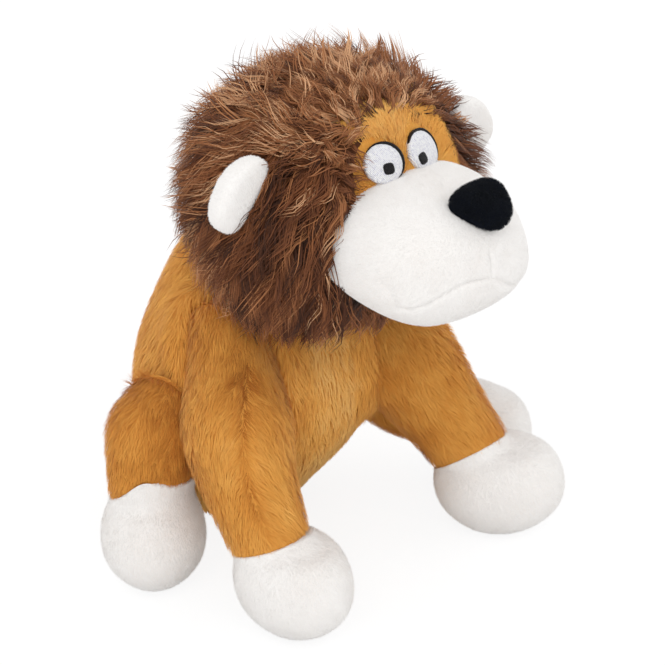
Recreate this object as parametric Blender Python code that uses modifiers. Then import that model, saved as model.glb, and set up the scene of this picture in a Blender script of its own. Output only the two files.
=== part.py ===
"""Plush lion that sits on its rump, with its hind legs splayed and its front legs planted ahead of it.

Metres, +Z up. The lion faces -Y and its own right side is -X. The origin is the centre of the flat
under its rump, where it rests on the ground.
Each stuffed piece is a swelling, tapering form: a fabric skin with an open root, and filling inside.
"""

import math

import bmesh
import bpy
from mathutils import Matrix, Vector

MM = 0.001

# Fabric, clearances and mesh fineness
FABRIC = 1.2 * MM
GAP = 0.3 * MM
SWING_GAP = 0.6 * MM
LEG_GAP = 1 * MM
REST_CUT = 0.5 * MM
WELD = 0.02 * MM
BEYOND = 400 * MM
SHARP_DEG = 40
SWEEP_STEP_DEG = 10
LIMB_SIDES = 6
TORSO_SIDES = 8
HEAD_SEGMENTS = 18
HEAD_RINGS = 12
SMALL_SEGMENTS = 10
SMALL_RINGS = 7
OVAL_POINTS = 18
NOSE_SIDES = 9

# Torso, a pear with its flat at the bottom
TORSO_HEIGHT = 188 * MM
TORSO_WIDTH = 142 * MM
TORSO_DEPTH = 130 * MM

# Head and mane
HEAD_WIDTH = 116 * MM
HEAD_DEPTH = 116 * MM
HEAD_HEIGHT = 120 * MM
HEAD_AHEAD = 54 * MM
HEAD_RISE = 18 * MM
MANE_SIDE = 17 * MM
MANE_DEEP = 14 * MM
MANE_TOP = 10 * MM
MANE_SHIFT = 2 * MM
NECK_RADIUS = 22 * MM
NECK_AHEAD = 24 * MM
NECK_DROP = 28 * MM
HEAD_TURN_DEG = 15
HEAD_NOD_DOWN_DEG = 8
HEAD_NOD_UP_DEG = 8

# Face, muzzle and nose
FACE_WIDTH = 78 * MM
FACE_HEIGHT = 74 * MM
FACE_DROP = 16 * MM
MUZZLE_WIDTH = 101 * MM
MUZZLE_DEPTH = 86 * MM
MUZZLE_HEIGHT = 68 * MM
MUZZLE_REACH = 63 * MM
MUZZLE_DROP = 7 * MM
MUZZLE_FULLNESS = 2.4
MOUTH_DROP = 4 * MM
MOUTH_SLOPE_DEG = 25
NOSE_WIDTH = 31 * MM
NOSE_HEIGHT = 29 * MM
NOSE_THICK = 13 * MM
NOSE_ROOT = 6 * MM
NOSE_TILT_DEG = 55

# Eyes, three flat stitched patches each
EYE_WIDTH = 20 * MM
EYE_HEIGHT = 19 * MM
EYE_SPACING = 26 * MM
EYE_RISE = 33 * MM
EYE_THICK = 0.8 * MM
EYE_RIM = 2 * MM
PUPIL_WIDTH = 6.5 * MM
PUPIL_HEIGHT = 7.5 * MM
PUPIL_DROP = 3 * MM
PUPIL_SHIFT = 2 * MM

# Ears
EAR_WIDTH = 28 * MM
EAR_HEIGHT = 40 * MM
EAR_THICK = 15 * MM
EAR_FORWARD = 14 * MM
EAR_RIGHT_RISE = 28 * MM
EAR_LEFT_RISE = 15 * MM
EAR_PROUD = 10 * MM
EAR_LEAN_DEG = 38
EAR_ROOT_RADIUS = 6.5 * MM
EAR_ROOT_INSET = 4 * MM
EAR_FLAP_DEG = 20

# Legs
FRONT_THIGH_RADIUS = 31 * MM
FRONT_ANKLE_RADIUS = 21.5 * MM
FRONT_ROOT_RADIUS = 13 * MM
FRONT_ROOT_INSET = 8 * MM
FRONT_SHOULDER_Z = 118 * MM
FRONT_SHOULDER_AHEAD = 32 * MM
FRONT_PAW_LENGTH = 67 * MM
FRONT_PAW_FORWARD = 12 * MM
FRONT_CUFF_HEIGHT = 51 * MM
FRONT_SWING_DEG = 25
REAR_THIGH_RADIUS = 28 * MM
REAR_ANKLE_RADIUS = 21.5 * MM
REAR_ROOT_RADIUS = 13 * MM
REAR_ROOT_INSET = 8 * MM
REAR_HIP_Z = 92 * MM
REAR_HIP_AHEAD = 2 * MM
REAR_PAW_LENGTH = 62 * MM
REAR_PAW_FORWARD = 6 * MM
REAR_CUFF_HEIGHT = 56 * MM
REAR_SPLAY_DEG = 30
PAW_WIDTH = 54 * MM
PAW_HEIGHT = 52 * MM

# How far each ankle lies from its joint's centre, out to its own side and ahead, and its height
FRONT_RIGHT_OUT = 21 * MM
FRONT_RIGHT_AHEAD = 49 * MM
FRONT_LEFT_OUT = 20 * MM
FRONT_LEFT_AHEAD = 59 * MM
FRONT_ANKLE_Z = 46 * MM
REAR_RIGHT_OUT = 17 * MM
REAR_RIGHT_AHEAD = 5 * MM
REAR_LEFT_OUT = 42 * MM
REAR_LEFT_AHEAD = 46 * MM
REAR_ANKLE_Z = 38 * MM

# How far the middle of each leg bows out to its own side, ahead and up from the straight
FRONT_RIGHT_BOW = (10 * MM, 0, 0)
FRONT_LEFT_BOW = (2 * MM, 0, -4 * MM)
REAR_RIGHT_BOW = (8 * MM, 2 * MM, 8 * MM)
REAR_LEFT_BOW = (-9 * MM, 7 * MM, -15 * MM)

# Tail, along the ground behind the lion
TAIL_RADIUS = 6 * MM
TAIL_ROOT_RADIUS = 10 * MM
TAIL_ROOT_INSET = 6 * MM
TAIL_ROOT_Z = 50 * MM
TAIL_REACH = 34 * MM
TAIL_CURL = 52 * MM
TAIL_SWING_IN_DEG = 15
TAIL_SWING_OUT_DEG = 25
TUFT_RADIUS = 12 * MM
TUFT_LENGTH = 44 * MM
TUFT_LAP = 6 * MM

# Height, centre's set-back, half width and half depth of the torso's rings
TORSO_SHARES = (
    (0.000, 0.130, 0.340, 0.340),
    (0.022, 0.125, 0.500, 0.480),
    (0.130, 0.100, 0.740, 0.630),
    (0.270, 0.040, 0.930, 0.880),
    (0.500, 0.004, 1.040, 1.050),
    (0.730, 0.005, 0.830, 0.770),
    (0.880, 0.045, 0.610, 0.480),
    (1.000, 0.070, 0.240, 0.180),
)
# Place along a leg from its joint to its ankle, and how far its radius is from the ankle's to the thigh's
LEG_SHARES = (
    (-0.200, -0.10),
    (0.010, 0.92),
    (0.260, 1.08),
    (0.540, 0.68),
    (0.860, 0.05),
    (1.180, -0.10),
)
# Height, forward shift, half length and half width of a paw's rings
PAW_SHARES = (
    (0.000, 0.00, 0.34, 0.34),
    (0.050, 0.01, 0.56, 0.56),
    (0.300, 0.03, 1.00, 1.02),
    (0.640, 0.00, 1.03, 1.05),
    (0.900, -0.05, 0.80, 0.84),
    (1.000, -0.07, 0.46, 0.48),
)
# Height over the muzzle and width of the nose's rings
NOSE_SHARES = (
    (0.00, 0.86),
    (0.45, 1.00),
    (0.85, 0.84),
    (1.00, 0.42),
)
NOSE_CORNER_SHARE = 0.13
CUFF_STEP_SHARE = 0.001
# Along the tail: sideways, back and down, then the radius
TAIL_SHARES = (
    (0.00, -0.10, 0.00, 1.25),
    (0.02, 0.30, 0.08, 1.20),
    (0.10, 0.66, 0.45, 1.00),
    (0.30, 0.94, 0.86, 0.95),
    (0.62, 1.00, 1.00, 0.90),
    (1.00, 0.86, 1.00, 0.90),
)
# Along the tuft, and its radius
TUFT_SHARES = (
    (0.00, 0.55),
    (0.08, 0.80),
    (0.38, 1.05),
    (0.72, 0.85),
    (1.00, 0.22),
)

COLOURS = {
    "orange_pile": (0.58, 0.26, 0.035),
    "mane_pile": (0.15, 0.062, 0.03),
    "white_velour": (0.88, 0.86, 0.84),
    "black_pile": (0.008, 0.009, 0.012),
    "eye_thread": (0.8, 0.8, 0.86),
    "charcoal_thread": (0.03, 0.03, 0.035),
    "filling": (0.9, 0.9, 0.88),
}
ROUGHNESS = {"eye_thread": 0.6, "charcoal_thread": 0.6}

TORSO_CENTRE_Y = -TORSO_SHARES[0][1] * TORSO_DEPTH

X_AXIS = Vector((1, 0, 0))
Y_AXIS = Vector((0, 1, 0))
Z_AXIS = Vector((0, 0, 1))
FAR_CORNER = Vector((BEYOND, BEYOND, BEYOND))


def clear_scene():
    for obj in list(bpy.data.objects):
        bpy.data.objects.remove(obj)
    groups = []
    for name in ("plush_lion", "cutters"):
        group = bpy.data.collections.new(name)
        bpy.context.scene.collection.children.link(group)
        groups.append(group)
    return groups


def make_material(name):
    material = bpy.data.materials.new(name)
    material.use_nodes = True
    shader = material.node_tree.nodes["Principled BSDF"]
    shader.inputs["Base Color"].default_value = (*COLOURS[name], 1)
    shader.inputs["Roughness"].default_value = ROUGHNESS.get(name, 0.95)
    shader.inputs["Metallic"].default_value = 0
    material.diffuse_color = (*COLOURS[name], 1)
    return material


def new_form(name, mesh):
    """A closed form that pieces are copied and cut from."""
    obj = bpy.data.objects.new(name, mesh)
    cutters.objects.link(obj)
    obj.hide_render = True
    obj.display_type = "WIRE"
    return obj


def baked(obj):
    """The object with its modifiers applied to its mesh."""
    bpy.context.view_layer.update()
    evaluated = obj.evaluated_get(bpy.context.evaluated_depsgraph_get())
    mesh = bpy.data.meshes.new_from_object(evaluated)
    obj.modifiers.clear()
    obj.data = mesh
    return obj


def faceted(form):
    """The form in triangles, so that its inner and outer copies have the same folds."""
    facets = form.modifiers.new("facets", "TRIANGULATE")
    facets.quad_method = "FIXED"
    return baked(form)


def copied(form, name):
    return new_form(name, form.data.copy())


def moved(form, matrix, name):
    copy = copied(form, name)
    copy.data.transform(matrix)
    return copy


def grown(form, amount, name):
    """A copy whose surface lies further out along its normals, or further in where amount is negative."""
    copy = copied(form, name)
    displace = copy.modifiers.new("offset", "DISPLACE")
    displace.strength = amount
    displace.mid_level = 0
    return baked(copy)


def combine(obj, operation, others, solver="EXACT"):
    for other in others:
        modifier = obj.modifiers.new(operation.lower(), "BOOLEAN")
        modifier.operation = operation
        modifier.solver = solver
        modifier.object = other
        baked(obj)
    return obj


def without(obj, *others):
    return combine(obj, "DIFFERENCE", others)


def clear_of(obj, obstacles):
    """Cut by many copies of one form that nearly coincide, which the exact solver loses its way in."""
    return combine(obj, "DIFFERENCE", obstacles, "MANIFOLD")


def within(obj, *others):
    return combine(obj, "INTERSECT", others)


def joined(obj, *others):
    return combine(obj, "UNION", others)


def shell(form, name, wall=FABRIC):
    """The fabric skin of a form."""
    return without(copied(form, name), grown(form, -wall, name + "_inner"))


def ball(name, centre, radius):
    return ellipsoid(name, centre, (radius, radius, radius), SMALL_SEGMENTS, SMALL_RINGS)


def pocket(centre, radius):
    """A cutter that a ball of this radius turns in: its facets lie just outside the ball."""
    flats = math.cos(math.pi / SMALL_SEGMENTS) * math.cos(math.pi / 2 / SMALL_RINGS)
    cutter = ball("pocket", centre, (radius + GAP) / flats)
    cutter.data.transform(turned(centre, Z_AXIS, 180 / SMALL_SEGMENTS))
    return cutter


def ellipsoid(name, centre, halves, segments=HEAD_SEGMENTS, rings=HEAD_RINGS, fullness=2):
    """An ellipsoid, or above a fullness of 2 one with fuller shoulders."""
    mesh = bpy.data.meshes.new(name)
    shape = bmesh.new()
    bmesh.ops.create_uvsphere(shape, u_segments=segments, v_segments=rings, radius=1)
    for vert in shape.verts:
        vert.co /= sum(abs(part) ** fullness for part in vert.co) ** (1 / fullness)
    shape.transform(Matrix.Translation(centre) @ Matrix.Diagonal((*halves, 1)))
    shape.to_mesh(mesh)
    shape.free()
    return new_form(name, mesh)


def loft(name, rings):
    """A soft closed form: a coarse cage of rings, from the first ring to the last, subdivided once."""
    sides = len(rings[0])
    mesh = bpy.data.meshes.new(name)
    shape = bmesh.new()
    loops = [[shape.verts.new(point) for point in ring] for ring in rings]
    for low, high in zip(loops, loops[1:]):
        for near in range(sides):
            far = (near + 1) % sides
            shape.faces.new((low[near], low[far], high[far], high[near]))
    shape.faces.new(loops[0][::-1])
    shape.faces.new(loops[-1])
    bmesh.ops.recalc_face_normals(shape, faces=shape.faces)
    shape.to_mesh(mesh)
    shape.free()
    form = new_form(name, mesh)
    soften = form.modifiers.new("soften", "SUBSURF")
    soften.levels = 1
    soften.render_levels = 1
    return faceted(baked(form))


def ring(centre, along, across, half_along, half_across, sides, corner_share=0):
    """Cage points round a centre. They stand proud by the share that subdivision takes off a round ring."""
    proud = 6 / (4 + 2 * math.cos(math.tau / sides))
    points = []
    for step in range(sides):
        angle = math.tau * step / sides
        reach = proud * (1 + corner_share * math.cos(3 * angle))
        points.append(
            centre
            + along * (half_along * reach * math.cos(angle))
            + across * (half_across * reach * math.sin(angle))
        )
    return points


def prism(name, outline, direction, start, end):
    """A straight cutter through an outline, from start to end along its direction."""
    mesh = bpy.data.meshes.new(name)
    shape = bmesh.new()
    near = [shape.verts.new(point + direction * start) for point in outline]
    far = [shape.verts.new(point + direction * end) for point in outline]
    for first in range(len(outline)):
        second = (first + 1) % len(outline)
        shape.faces.new((near[first], near[second], far[second], far[first]))
    shape.faces.new(near[::-1])
    shape.faces.new(far)
    bmesh.ops.recalc_face_normals(shape, faces=shape.faces)
    shape.to_mesh(mesh)
    shape.free()
    return new_form(name, mesh)


def block(name, low, high):
    mesh = bpy.data.meshes.new(name)
    shape = bmesh.new()
    bmesh.ops.create_cube(shape, size=1)
    size = high - low
    shape.transform(Matrix.Translation((low + high) / 2) @ Matrix.Diagonal((*size, 1)))
    shape.to_mesh(mesh)
    shape.free()
    return new_form(name, mesh)


def spaced_angles(low, high):
    """Angles from low to high, in degrees, no more than the sweep's step apart."""
    count = max(1, math.ceil((high - low) / SWEEP_STEP_DEG))
    return [low + (high - low) * step / count for step in range(count + 1)]


def turned(centre, axis, degrees):
    """Rotation about an axis through a centre."""
    spin = Matrix.Rotation(math.radians(degrees), 4, axis)
    return Matrix.Translation(centre) @ spin @ Matrix.Translation(-centre)


def welded(mesh):
    """Merges the slivers that cutting leaves."""
    shape = bmesh.new()
    shape.from_mesh(mesh)
    bmesh.ops.remove_doubles(shape, verts=shape.verts, dist=WELD)
    bmesh.ops.dissolve_degenerate(shape, edges=shape.edges, dist=WELD)
    bmesh.ops.triangulate(shape, faces=shape.faces)
    shape.to_mesh(mesh)
    shape.free()


def finish(obj, name, material):
    """Turns a cut form into a named piece of the lion."""
    cutters.objects.unlink(obj)
    lion.objects.link(obj)
    obj.name = name
    obj.data.name = name
    obj.hide_render = False
    obj.display_type = "TEXTURED"
    obj.data.materials.clear()
    obj.data.materials.append(materials[material])
    obj.data.shade_smooth()
    obj.data.set_sharp_from_angle(angle=math.radians(SHARP_DEG))
    return obj


def torso_section(height):
    """Centre, half width and half depth of the torso at a height."""
    share = height / TORSO_HEIGHT
    for low, high in zip(TORSO_SHARES, TORSO_SHARES[1:]):
        if share <= high[0]:
            break
    blend = (share - low[0]) / (high[0] - low[0])
    back, wide, deep = (a + (b - a) * blend for a, b in zip(low[1:], high[1:]))
    centre = Vector((0, TORSO_CENTRE_Y + back * TORSO_DEPTH, height))
    return centre, wide * TORSO_WIDTH / 2, deep * TORSO_DEPTH / 2


def torso_side_x(y, height):
    centre, wide, deep = torso_section(height)
    return wide * math.sqrt(1 - ((y - centre.y) / deep) ** 2)


def ellipsoid_x(centre, halves, y, z):
    """The +X reach of an ellipsoid's surface at y and z."""
    rest = 1 - ((y - centre.y) / halves[1]) ** 2 - ((z - centre.z) / halves[2]) ** 2
    return centre.x + halves[0] * math.sqrt(rest)


def ellipsoid_front_y(centre, halves, x, z):
    """The -Y reach of an ellipsoid's surface at x and z."""
    rest = 1 - ((x - centre.x) / halves[0]) ** 2 - ((z - centre.z) / halves[2]) ** 2
    return centre.y - halves[1] * math.sqrt(rest)


def ellipsoid_normal(centre, halves, point):
    scaled = [(point[i] - centre[i]) / halves[i] ** 2 for i in range(3)]
    return Vector(scaled).normalized()


def make_torso_form():
    rings = []
    for height, _, _, _ in TORSO_SHARES:
        level = height * TORSO_HEIGHT
        centre, wide, deep = torso_section(level)
        centre.z = level - REST_CUT * (1 - height)
        rings.append(ring(centre, X_AXIS, Y_AXIS, wide, deep, TORSO_SIDES))
    return loft("torso_form", rings)


def leg_plan(side, joint, out, ahead, ankle_z, bow, heading):
    """Joint centre, ankle, bow and paw heading of a leg. Side is -1 for the lion's right, 1 for its left."""
    return {
        "joint": joint,
        "end": Vector((joint.x + side * out, joint.y - ahead, ankle_z)),
        "bow": Vector((side * bow[0], -bow[1], bow[2])),
        "heading": heading,
    }


def leg_measures():
    front_y = TORSO_CENTRE_Y - FRONT_SHOULDER_AHEAD
    front_x = torso_side_x(front_y, FRONT_SHOULDER_Z) - FRONT_ROOT_INSET
    rear_y = TORSO_CENTRE_Y - REAR_HIP_AHEAD
    rear_x = torso_side_x(rear_y, REAR_HIP_Z) - REAR_ROOT_INSET
    ahead = Vector((0, -1, 0))
    ahead_right = Vector((-1, -1, 0)).normalized()
    ahead_left = Vector((1, -1, 0)).normalized()
    front = {
        "thigh": FRONT_THIGH_RADIUS,
        "ankle": FRONT_ANKLE_RADIUS,
        "root": FRONT_ROOT_RADIUS,
        "paw_length": FRONT_PAW_LENGTH,
        "paw_forward": FRONT_PAW_FORWARD,
        "cuff": FRONT_CUFF_HEIGHT,
        "axis": X_AXIS,
    }
    rear = {
        "thigh": REAR_THIGH_RADIUS,
        "ankle": REAR_ANKLE_RADIUS,
        "root": REAR_ROOT_RADIUS,
        "paw_length": REAR_PAW_LENGTH,
        "paw_forward": REAR_PAW_FORWARD,
        "cuff": REAR_CUFF_HEIGHT,
        "axis": Z_AXIS,
    }
    front_right = leg_plan(
        -1,
        Vector((-front_x, front_y, FRONT_SHOULDER_Z)),
        FRONT_RIGHT_OUT,
        FRONT_RIGHT_AHEAD,
        FRONT_ANKLE_Z,
        FRONT_RIGHT_BOW,
        ahead,
    )
    front_left = leg_plan(
        1,
        Vector((front_x, front_y, FRONT_SHOULDER_Z)),
        FRONT_LEFT_OUT,
        FRONT_LEFT_AHEAD,
        FRONT_ANKLE_Z,
        FRONT_LEFT_BOW,
        ahead_left,
    )
    rear_right = leg_plan(
        -1,
        Vector((-rear_x, rear_y, REAR_HIP_Z)),
        REAR_RIGHT_OUT,
        REAR_RIGHT_AHEAD,
        REAR_ANKLE_Z,
        REAR_RIGHT_BOW,
        ahead_right,
    )
    rear_left = leg_plan(
        1,
        Vector((rear_x, rear_y, REAR_HIP_Z)),
        REAR_LEFT_OUT,
        REAR_LEFT_AHEAD,
        REAR_ANKLE_Z,
        REAR_LEFT_BOW,
        ahead_left,
    )
    return {
        "front_right": {**front, **front_right, "range": (-FRONT_SWING_DEG, 0)},
        "front_left": {**front, **front_left, "range": (-FRONT_SWING_DEG, 0)},
        "rear_right": {**rear, **rear_right, "range": (-REAR_SPLAY_DEG, 0)},
        "rear_left": {**rear, **rear_left, "range": (0, REAR_SPLAY_DEG)},
    }


def leg_point(leg, place):
    """Point and direction of a leg's centre line, from its joint at 0 to its ankle at 1."""
    span = leg["end"] - leg["joint"]
    bowed = min(max(place, 0), 1)
    point = leg["joint"] + span * place + leg["bow"] * (4 * bowed * (1 - bowed))
    return point, (span + leg["bow"] * (4 - 8 * bowed)).normalized()


def make_leg_form(name, leg):
    """A limb that swells at the thigh and tapers to the ankle."""
    rings = []
    for place, fullness in LEG_SHARES:
        centre, tangent = leg_point(leg, place)
        across = tangent.cross(X_AXIS).normalized()
        along = across.cross(tangent).normalized()
        radius = leg["ankle"] + (leg["thigh"] - leg["ankle"]) * fullness
        rings.append(ring(centre, along, across, radius, radius, LIMB_SIDES))
    return loft(name + "_leg_form", rings)


def cuff_sides(leg):
    """Cutters for what is above and below a leg's cuff, where its sleeve is sewn to its paw."""
    low, high = 0, 1
    while high - low > CUFF_STEP_SHARE:
        middle = (low + high) / 2
        if leg_point(leg, middle)[0].z > leg["cuff"]:
            low = middle
        else:
            high = middle
    point, tangent = leg_point(leg, low)
    frame = Matrix.Translation(point) @ tangent.to_track_quat("Z", "Y").to_matrix().to_4x4()
    half_gap = GAP / 2
    above = block("above_cuff", -FAR_CORNER, Vector((BEYOND, BEYOND, -half_gap)))
    below = block("below_cuff", Vector((-BEYOND, -BEYOND, half_gap)), FAR_CORNER)
    above.data.transform(frame)
    below.data.transform(frame)
    return above, below


def make_paw_form(name, leg):
    """A rounded boot, longer ahead of the ankle than behind it, flattened where it stands."""
    heading = leg["heading"]
    across = Z_AXIS.cross(heading)
    length = leg["paw_length"]
    rings = []
    for height, shift, long, wide in PAW_SHARES:
        centre = leg["end"] + heading * (leg["paw_forward"] + shift * length / 2)
        centre.z = height * PAW_HEIGHT - REST_CUT * (1 - height)
        half = (long * length / 2, wide * PAW_WIDTH / 2)
        rings.append(ring(centre, heading, across, *half, LIMB_SIDES))
    return loft(name + "_paw_form", rings)


def swung(forms, centre, axis, low, high):
    """Copies of the forms at each angle about an axis."""
    return [
        moved(form, turned(centre, axis, angle), form.name + "_swing")
        for form in forms
        for angle in spaced_angles(low, high)
    ]


def seen_by_limb(forms, centre, axis, low, high):
    """The forms as a limb sees them at each angle of its own joint."""
    return swung(forms, centre, axis, -high, -low)


def make_leg(name, leg, leg_form, torso_form, neighbours):
    """Sleeve, paw and filling of one leg. Its filling ends in a ball that seats in the torso."""
    paw_form = make_paw_form(name, leg)
    clear_forms = [grown(torso_form, SWING_GAP, "torso_clear"), *neighbours]
    obstacles = seen_by_limb(clear_forms, leg["joint"], leg["axis"], *leg["range"])

    above, below = cuff_sides(leg)
    inset = -(FABRIC + GAP)
    lining = joined(grown(leg_form, -FABRIC, "lining"), grown(paw_form, -FABRIC, "paw_lining"))
    filling = joined(grown(leg_form, inset, "filling"), grown(paw_form, inset, "paw_filling"))

    root_clear = ball("root_clear", leg["joint"], leg["root"] + GAP)
    sleeve = without(within(copied(leg_form, "sleeve"), above), lining, root_clear)
    finish(clear_of(sleeve, obstacles), name + "_leg_skin", "orange_pile")

    paw = joined(copied(paw_form, "paw"), leg_form)
    without(within(paw, below), lining, below_ground)
    finish(clear_of(paw, obstacles), name + "_paw", "white_velour")

    clear_of(filling, obstacles)
    joined(filling, ball("root", leg["joint"], leg["root"]))
    finish(filling, name + "_leg_filling", "filling")


def tail_root():
    centre, _, deep = torso_section(TAIL_ROOT_Z)
    return Vector((0, centre.y + deep - TAIL_ROOT_INSET, TAIL_ROOT_Z))


def make_tail(torso_form):
    """A thin tail that drops from the rump and curls along the ground, with a tuft at its end."""
    root = tail_root()
    drop = TAIL_ROOT_Z - TUFT_RADIUS
    points = []
    for side, back, down, _ in TAIL_SHARES:
        points.append(root + Vector((side * TAIL_CURL, back * TAIL_REACH, -down * drop)))
    radii = [fullness * TAIL_RADIUS for _, _, _, fullness in TAIL_SHARES]
    tail = tube("tail_form", points, radii)
    torso_clear = [grown(torso_form, SWING_GAP, "torso_clear")]
    clear_of(tail, seen_by_limb(torso_clear, root, Z_AXIS, -TAIL_SWING_IN_DEG, TAIL_SWING_OUT_DEG))
    joined(tail, ball("root", root, TAIL_ROOT_RADIUS))

    heading = (points[-1] - points[-2]).normalized()
    start = points[-1] - heading * TUFT_LAP
    tuft_points = [start + heading * (place * TUFT_LENGTH) for place, _ in TUFT_SHARES]
    tuft = tube("tuft_form", tuft_points, [share * TUFT_RADIUS for _, share in TUFT_SHARES])
    without(tuft, grown(tail, GAP, "tail_clear"), below_ground)
    finish(tail, "tail", "orange_pile")
    finish(tuft, "tail_tuft", "mane_pile")


def tube(name, points, radii):
    """A soft tube through the points, its rings square to the path."""
    rings = []
    last = len(points) - 1
    for place, (point, radius) in enumerate(zip(points, radii)):
        tangent = (points[min(place + 1, last)] - points[max(place - 1, 0)]).normalized()
        along = tangent.cross(Z_AXIS).normalized()
        across = tangent.cross(along)
        rings.append(ring(point, along, across, radius, radius, LIMB_SIDES))
    return loft(name, rings)


def make_torso(torso_form, pockets):
    skin = without(shell(torso_form, "torso_skin_form"), *pockets, below_ground)
    finish(skin, "torso_skin", "orange_pile")
    filling = without(grown(torso_form, -(FABRIC + GAP), "torso_filling_form"), *pockets)
    finish(filling, "torso_filling", "filling")


def oval(centre, along, across, wide, high):
    """Points round an ellipse of these full sizes."""
    points = []
    for step in range(OVAL_POINTS):
        angle = math.tau * step / OVAL_POINTS
        points.append(centre + along * (wide / 2 * math.cos(angle)) + across * (high / 2 * math.sin(angle)))
    return points


def make_eye(name, side, head_form, muzzle_clear):
    """A white oval in a dark rim, and a pupil on the white, each lying on what is under it."""
    x = side * EYE_SPACING / 2
    z = head_centre.z + EYE_RISE
    place = Vector((x, ellipsoid_front_y(head_centre, head_halves, x, z), z))
    normal = ellipsoid_normal(head_centre, head_halves, place)
    along = Z_AXIS.cross(normal).normalized()
    across = normal.cross(along)
    reach = EYE_WIDTH / 2
    low, high = -reach, reach

    def patch(part, outline, lift, material, *holes):
        top = grown(head_form, lift + EYE_THICK, part)
        within(top, prism(part + "_outline", outline, normal, low, high))
        without(top, grown(head_form, lift, part + "_under"), muzzle_clear, *holes)
        finish(top, name + part, material)

    white = oval(place, along, across, EYE_WIDTH, EYE_HEIGHT)
    rim = oval(place, along, across, EYE_WIDTH + 2 * EYE_RIM, EYE_HEIGHT + 2 * EYE_RIM)
    rim_hole = oval(place, along, across, EYE_WIDTH + 2 * GAP, EYE_HEIGHT + 2 * GAP)
    spot = place - across * PUPIL_DROP - along * (side * PUPIL_SHIFT)
    pupil = oval(spot, along, across, PUPIL_WIDTH, PUPIL_HEIGHT)
    patch("_white", white, GAP, "eye_thread")
    hole = prism("rim_hole", rim_hole, normal, low - EYE_RIM, high + EYE_RIM)
    patch("_rim", rim, GAP, "charcoal_thread", hole)
    patch("_pupil", pupil, 2 * GAP + EYE_THICK, "charcoal_thread")


def make_nose(muzzle_form):
    """A rounded triangle, tip down, seated on the top of the muzzle's front."""
    tilt = math.radians(NOSE_TILT_DEG)
    out = Vector((0, -math.cos(tilt), math.sin(tilt)))
    down = Vector((0, -math.sin(tilt), -math.cos(tilt)))
    power = 1 / (MUZZLE_FULLNESS - 1)
    scaled = [abs(half * part) ** power for half, part in zip(muzzle_halves, out)]
    reach = sum(part**MUZZLE_FULLNESS for part in scaled) ** (1 / MUZZLE_FULLNESS)
    seat = muzzle_centre + Vector(
        [math.copysign(h * part / reach, o) for h, part, o in zip(muzzle_halves, scaled, out)]
    )
    rings = []
    for height, fullness in NOSE_SHARES:
        centre = seat + out * (height * (NOSE_ROOT + NOSE_THICK) - NOSE_ROOT)
        half = (fullness * NOSE_HEIGHT / 2, fullness * NOSE_WIDTH / 2)
        rings.append(ring(centre, down, X_AXIS, *half, NOSE_SIDES, NOSE_CORNER_SHARE))
    nose = without(loft("nose_form", rings), grown(muzzle_form, GAP, "muzzle_under_nose"))
    finish(nose, "nose", "black_pile")


def make_muzzle(muzzle_form, head_form):
    """Two cheek panels that meet on the centre line, and a chin panel below the mouth."""
    skin = without(shell(muzzle_form, "muzzle_skin"), grown(head_form, GAP, "head_clear"))
    front = Vector((0, muzzle_centre.y - MUZZLE_DEPTH / 2, muzzle_centre.z - MOUTH_DROP))
    tip = Matrix.Translation(front) @ Matrix.Rotation(math.radians(-MOUTH_SLOPE_DEG), 4, "X")
    half_gap = GAP / 2
    above = block("above_mouth", Vector((-BEYOND, -BEYOND, half_gap)), FAR_CORNER)
    below = block("below_mouth", -FAR_CORNER, Vector((BEYOND, BEYOND, -half_gap)))
    above.data.transform(tip)
    below.data.transform(tip)
    finish(within(copied(skin, "chin"), below), "chin_panel", "white_velour")
    for side, name in ((-1, "right"), (1, "left")):
        low_x, high_x = sorted((side * half_gap, side * BEYOND))
        low = Vector((low_x, -BEYOND, -BEYOND))
        half = block("cheek_side", low, Vector((high_x, BEYOND, BEYOND)))
        cheek = combine(copied(skin, "cheek"), "INTERSECT", (above, half), "MANIFOLD")
        finish(cheek, "muzzle_" + name + "_panel", "white_velour")


def ear_root(side):
    y = head_centre.y - EAR_FORWARD
    z = head_centre.z + (EAR_LEFT_RISE if side > 0 else EAR_RIGHT_RISE)
    x = ellipsoid_x(mane_centre, mane_halves, y, z) - EAR_ROOT_INSET
    return Vector((side * x, y, z))


def make_ear(name, side, mane_form):
    """A thick leaning oval whose root ball seats in the mane."""
    root = ear_root(side)
    centre = root + X_AXIS * (side * (EAR_ROOT_INSET + EAR_PROUD))
    halves = (EAR_WIDTH / 2, EAR_THICK / 2, EAR_HEIGHT / 2)
    ear = ellipsoid(name + "_form", centre, halves, SMALL_SEGMENTS, SMALL_RINGS)
    ear.data.transform(turned(centre, Y_AXIS, -side * EAR_LEAN_DEG))
    mane_clear = [grown(mane_form, SWING_GAP, "mane_clear")]
    clear_of(ear, seen_by_limb(mane_clear, root, Z_AXIS, -EAR_FLAP_DEG, EAR_FLAP_DEG))
    welded(ear.data)
    joined(ear, ball("root", root, EAR_ROOT_RADIUS))
    finish(ear, name, "white_velour")


def head_obstacles(torso_form):
    """The torso as the head sees it, at each turn and nod of the neck."""
    grown_form = grown(torso_form, SWING_GAP, "torso_clear")
    copies = []
    for turn in spaced_angles(-HEAD_TURN_DEG, HEAD_TURN_DEG):
        for nod in spaced_angles(-HEAD_NOD_UP_DEG, HEAD_NOD_DOWN_DEG):
            pose = turned(neck_centre, Z_AXIS, turn) @ turned(neck_centre, X_AXIS, nod)
            copies.append(moved(grown_form, pose.inverted(), "torso_swing"))
    return copies


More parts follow.
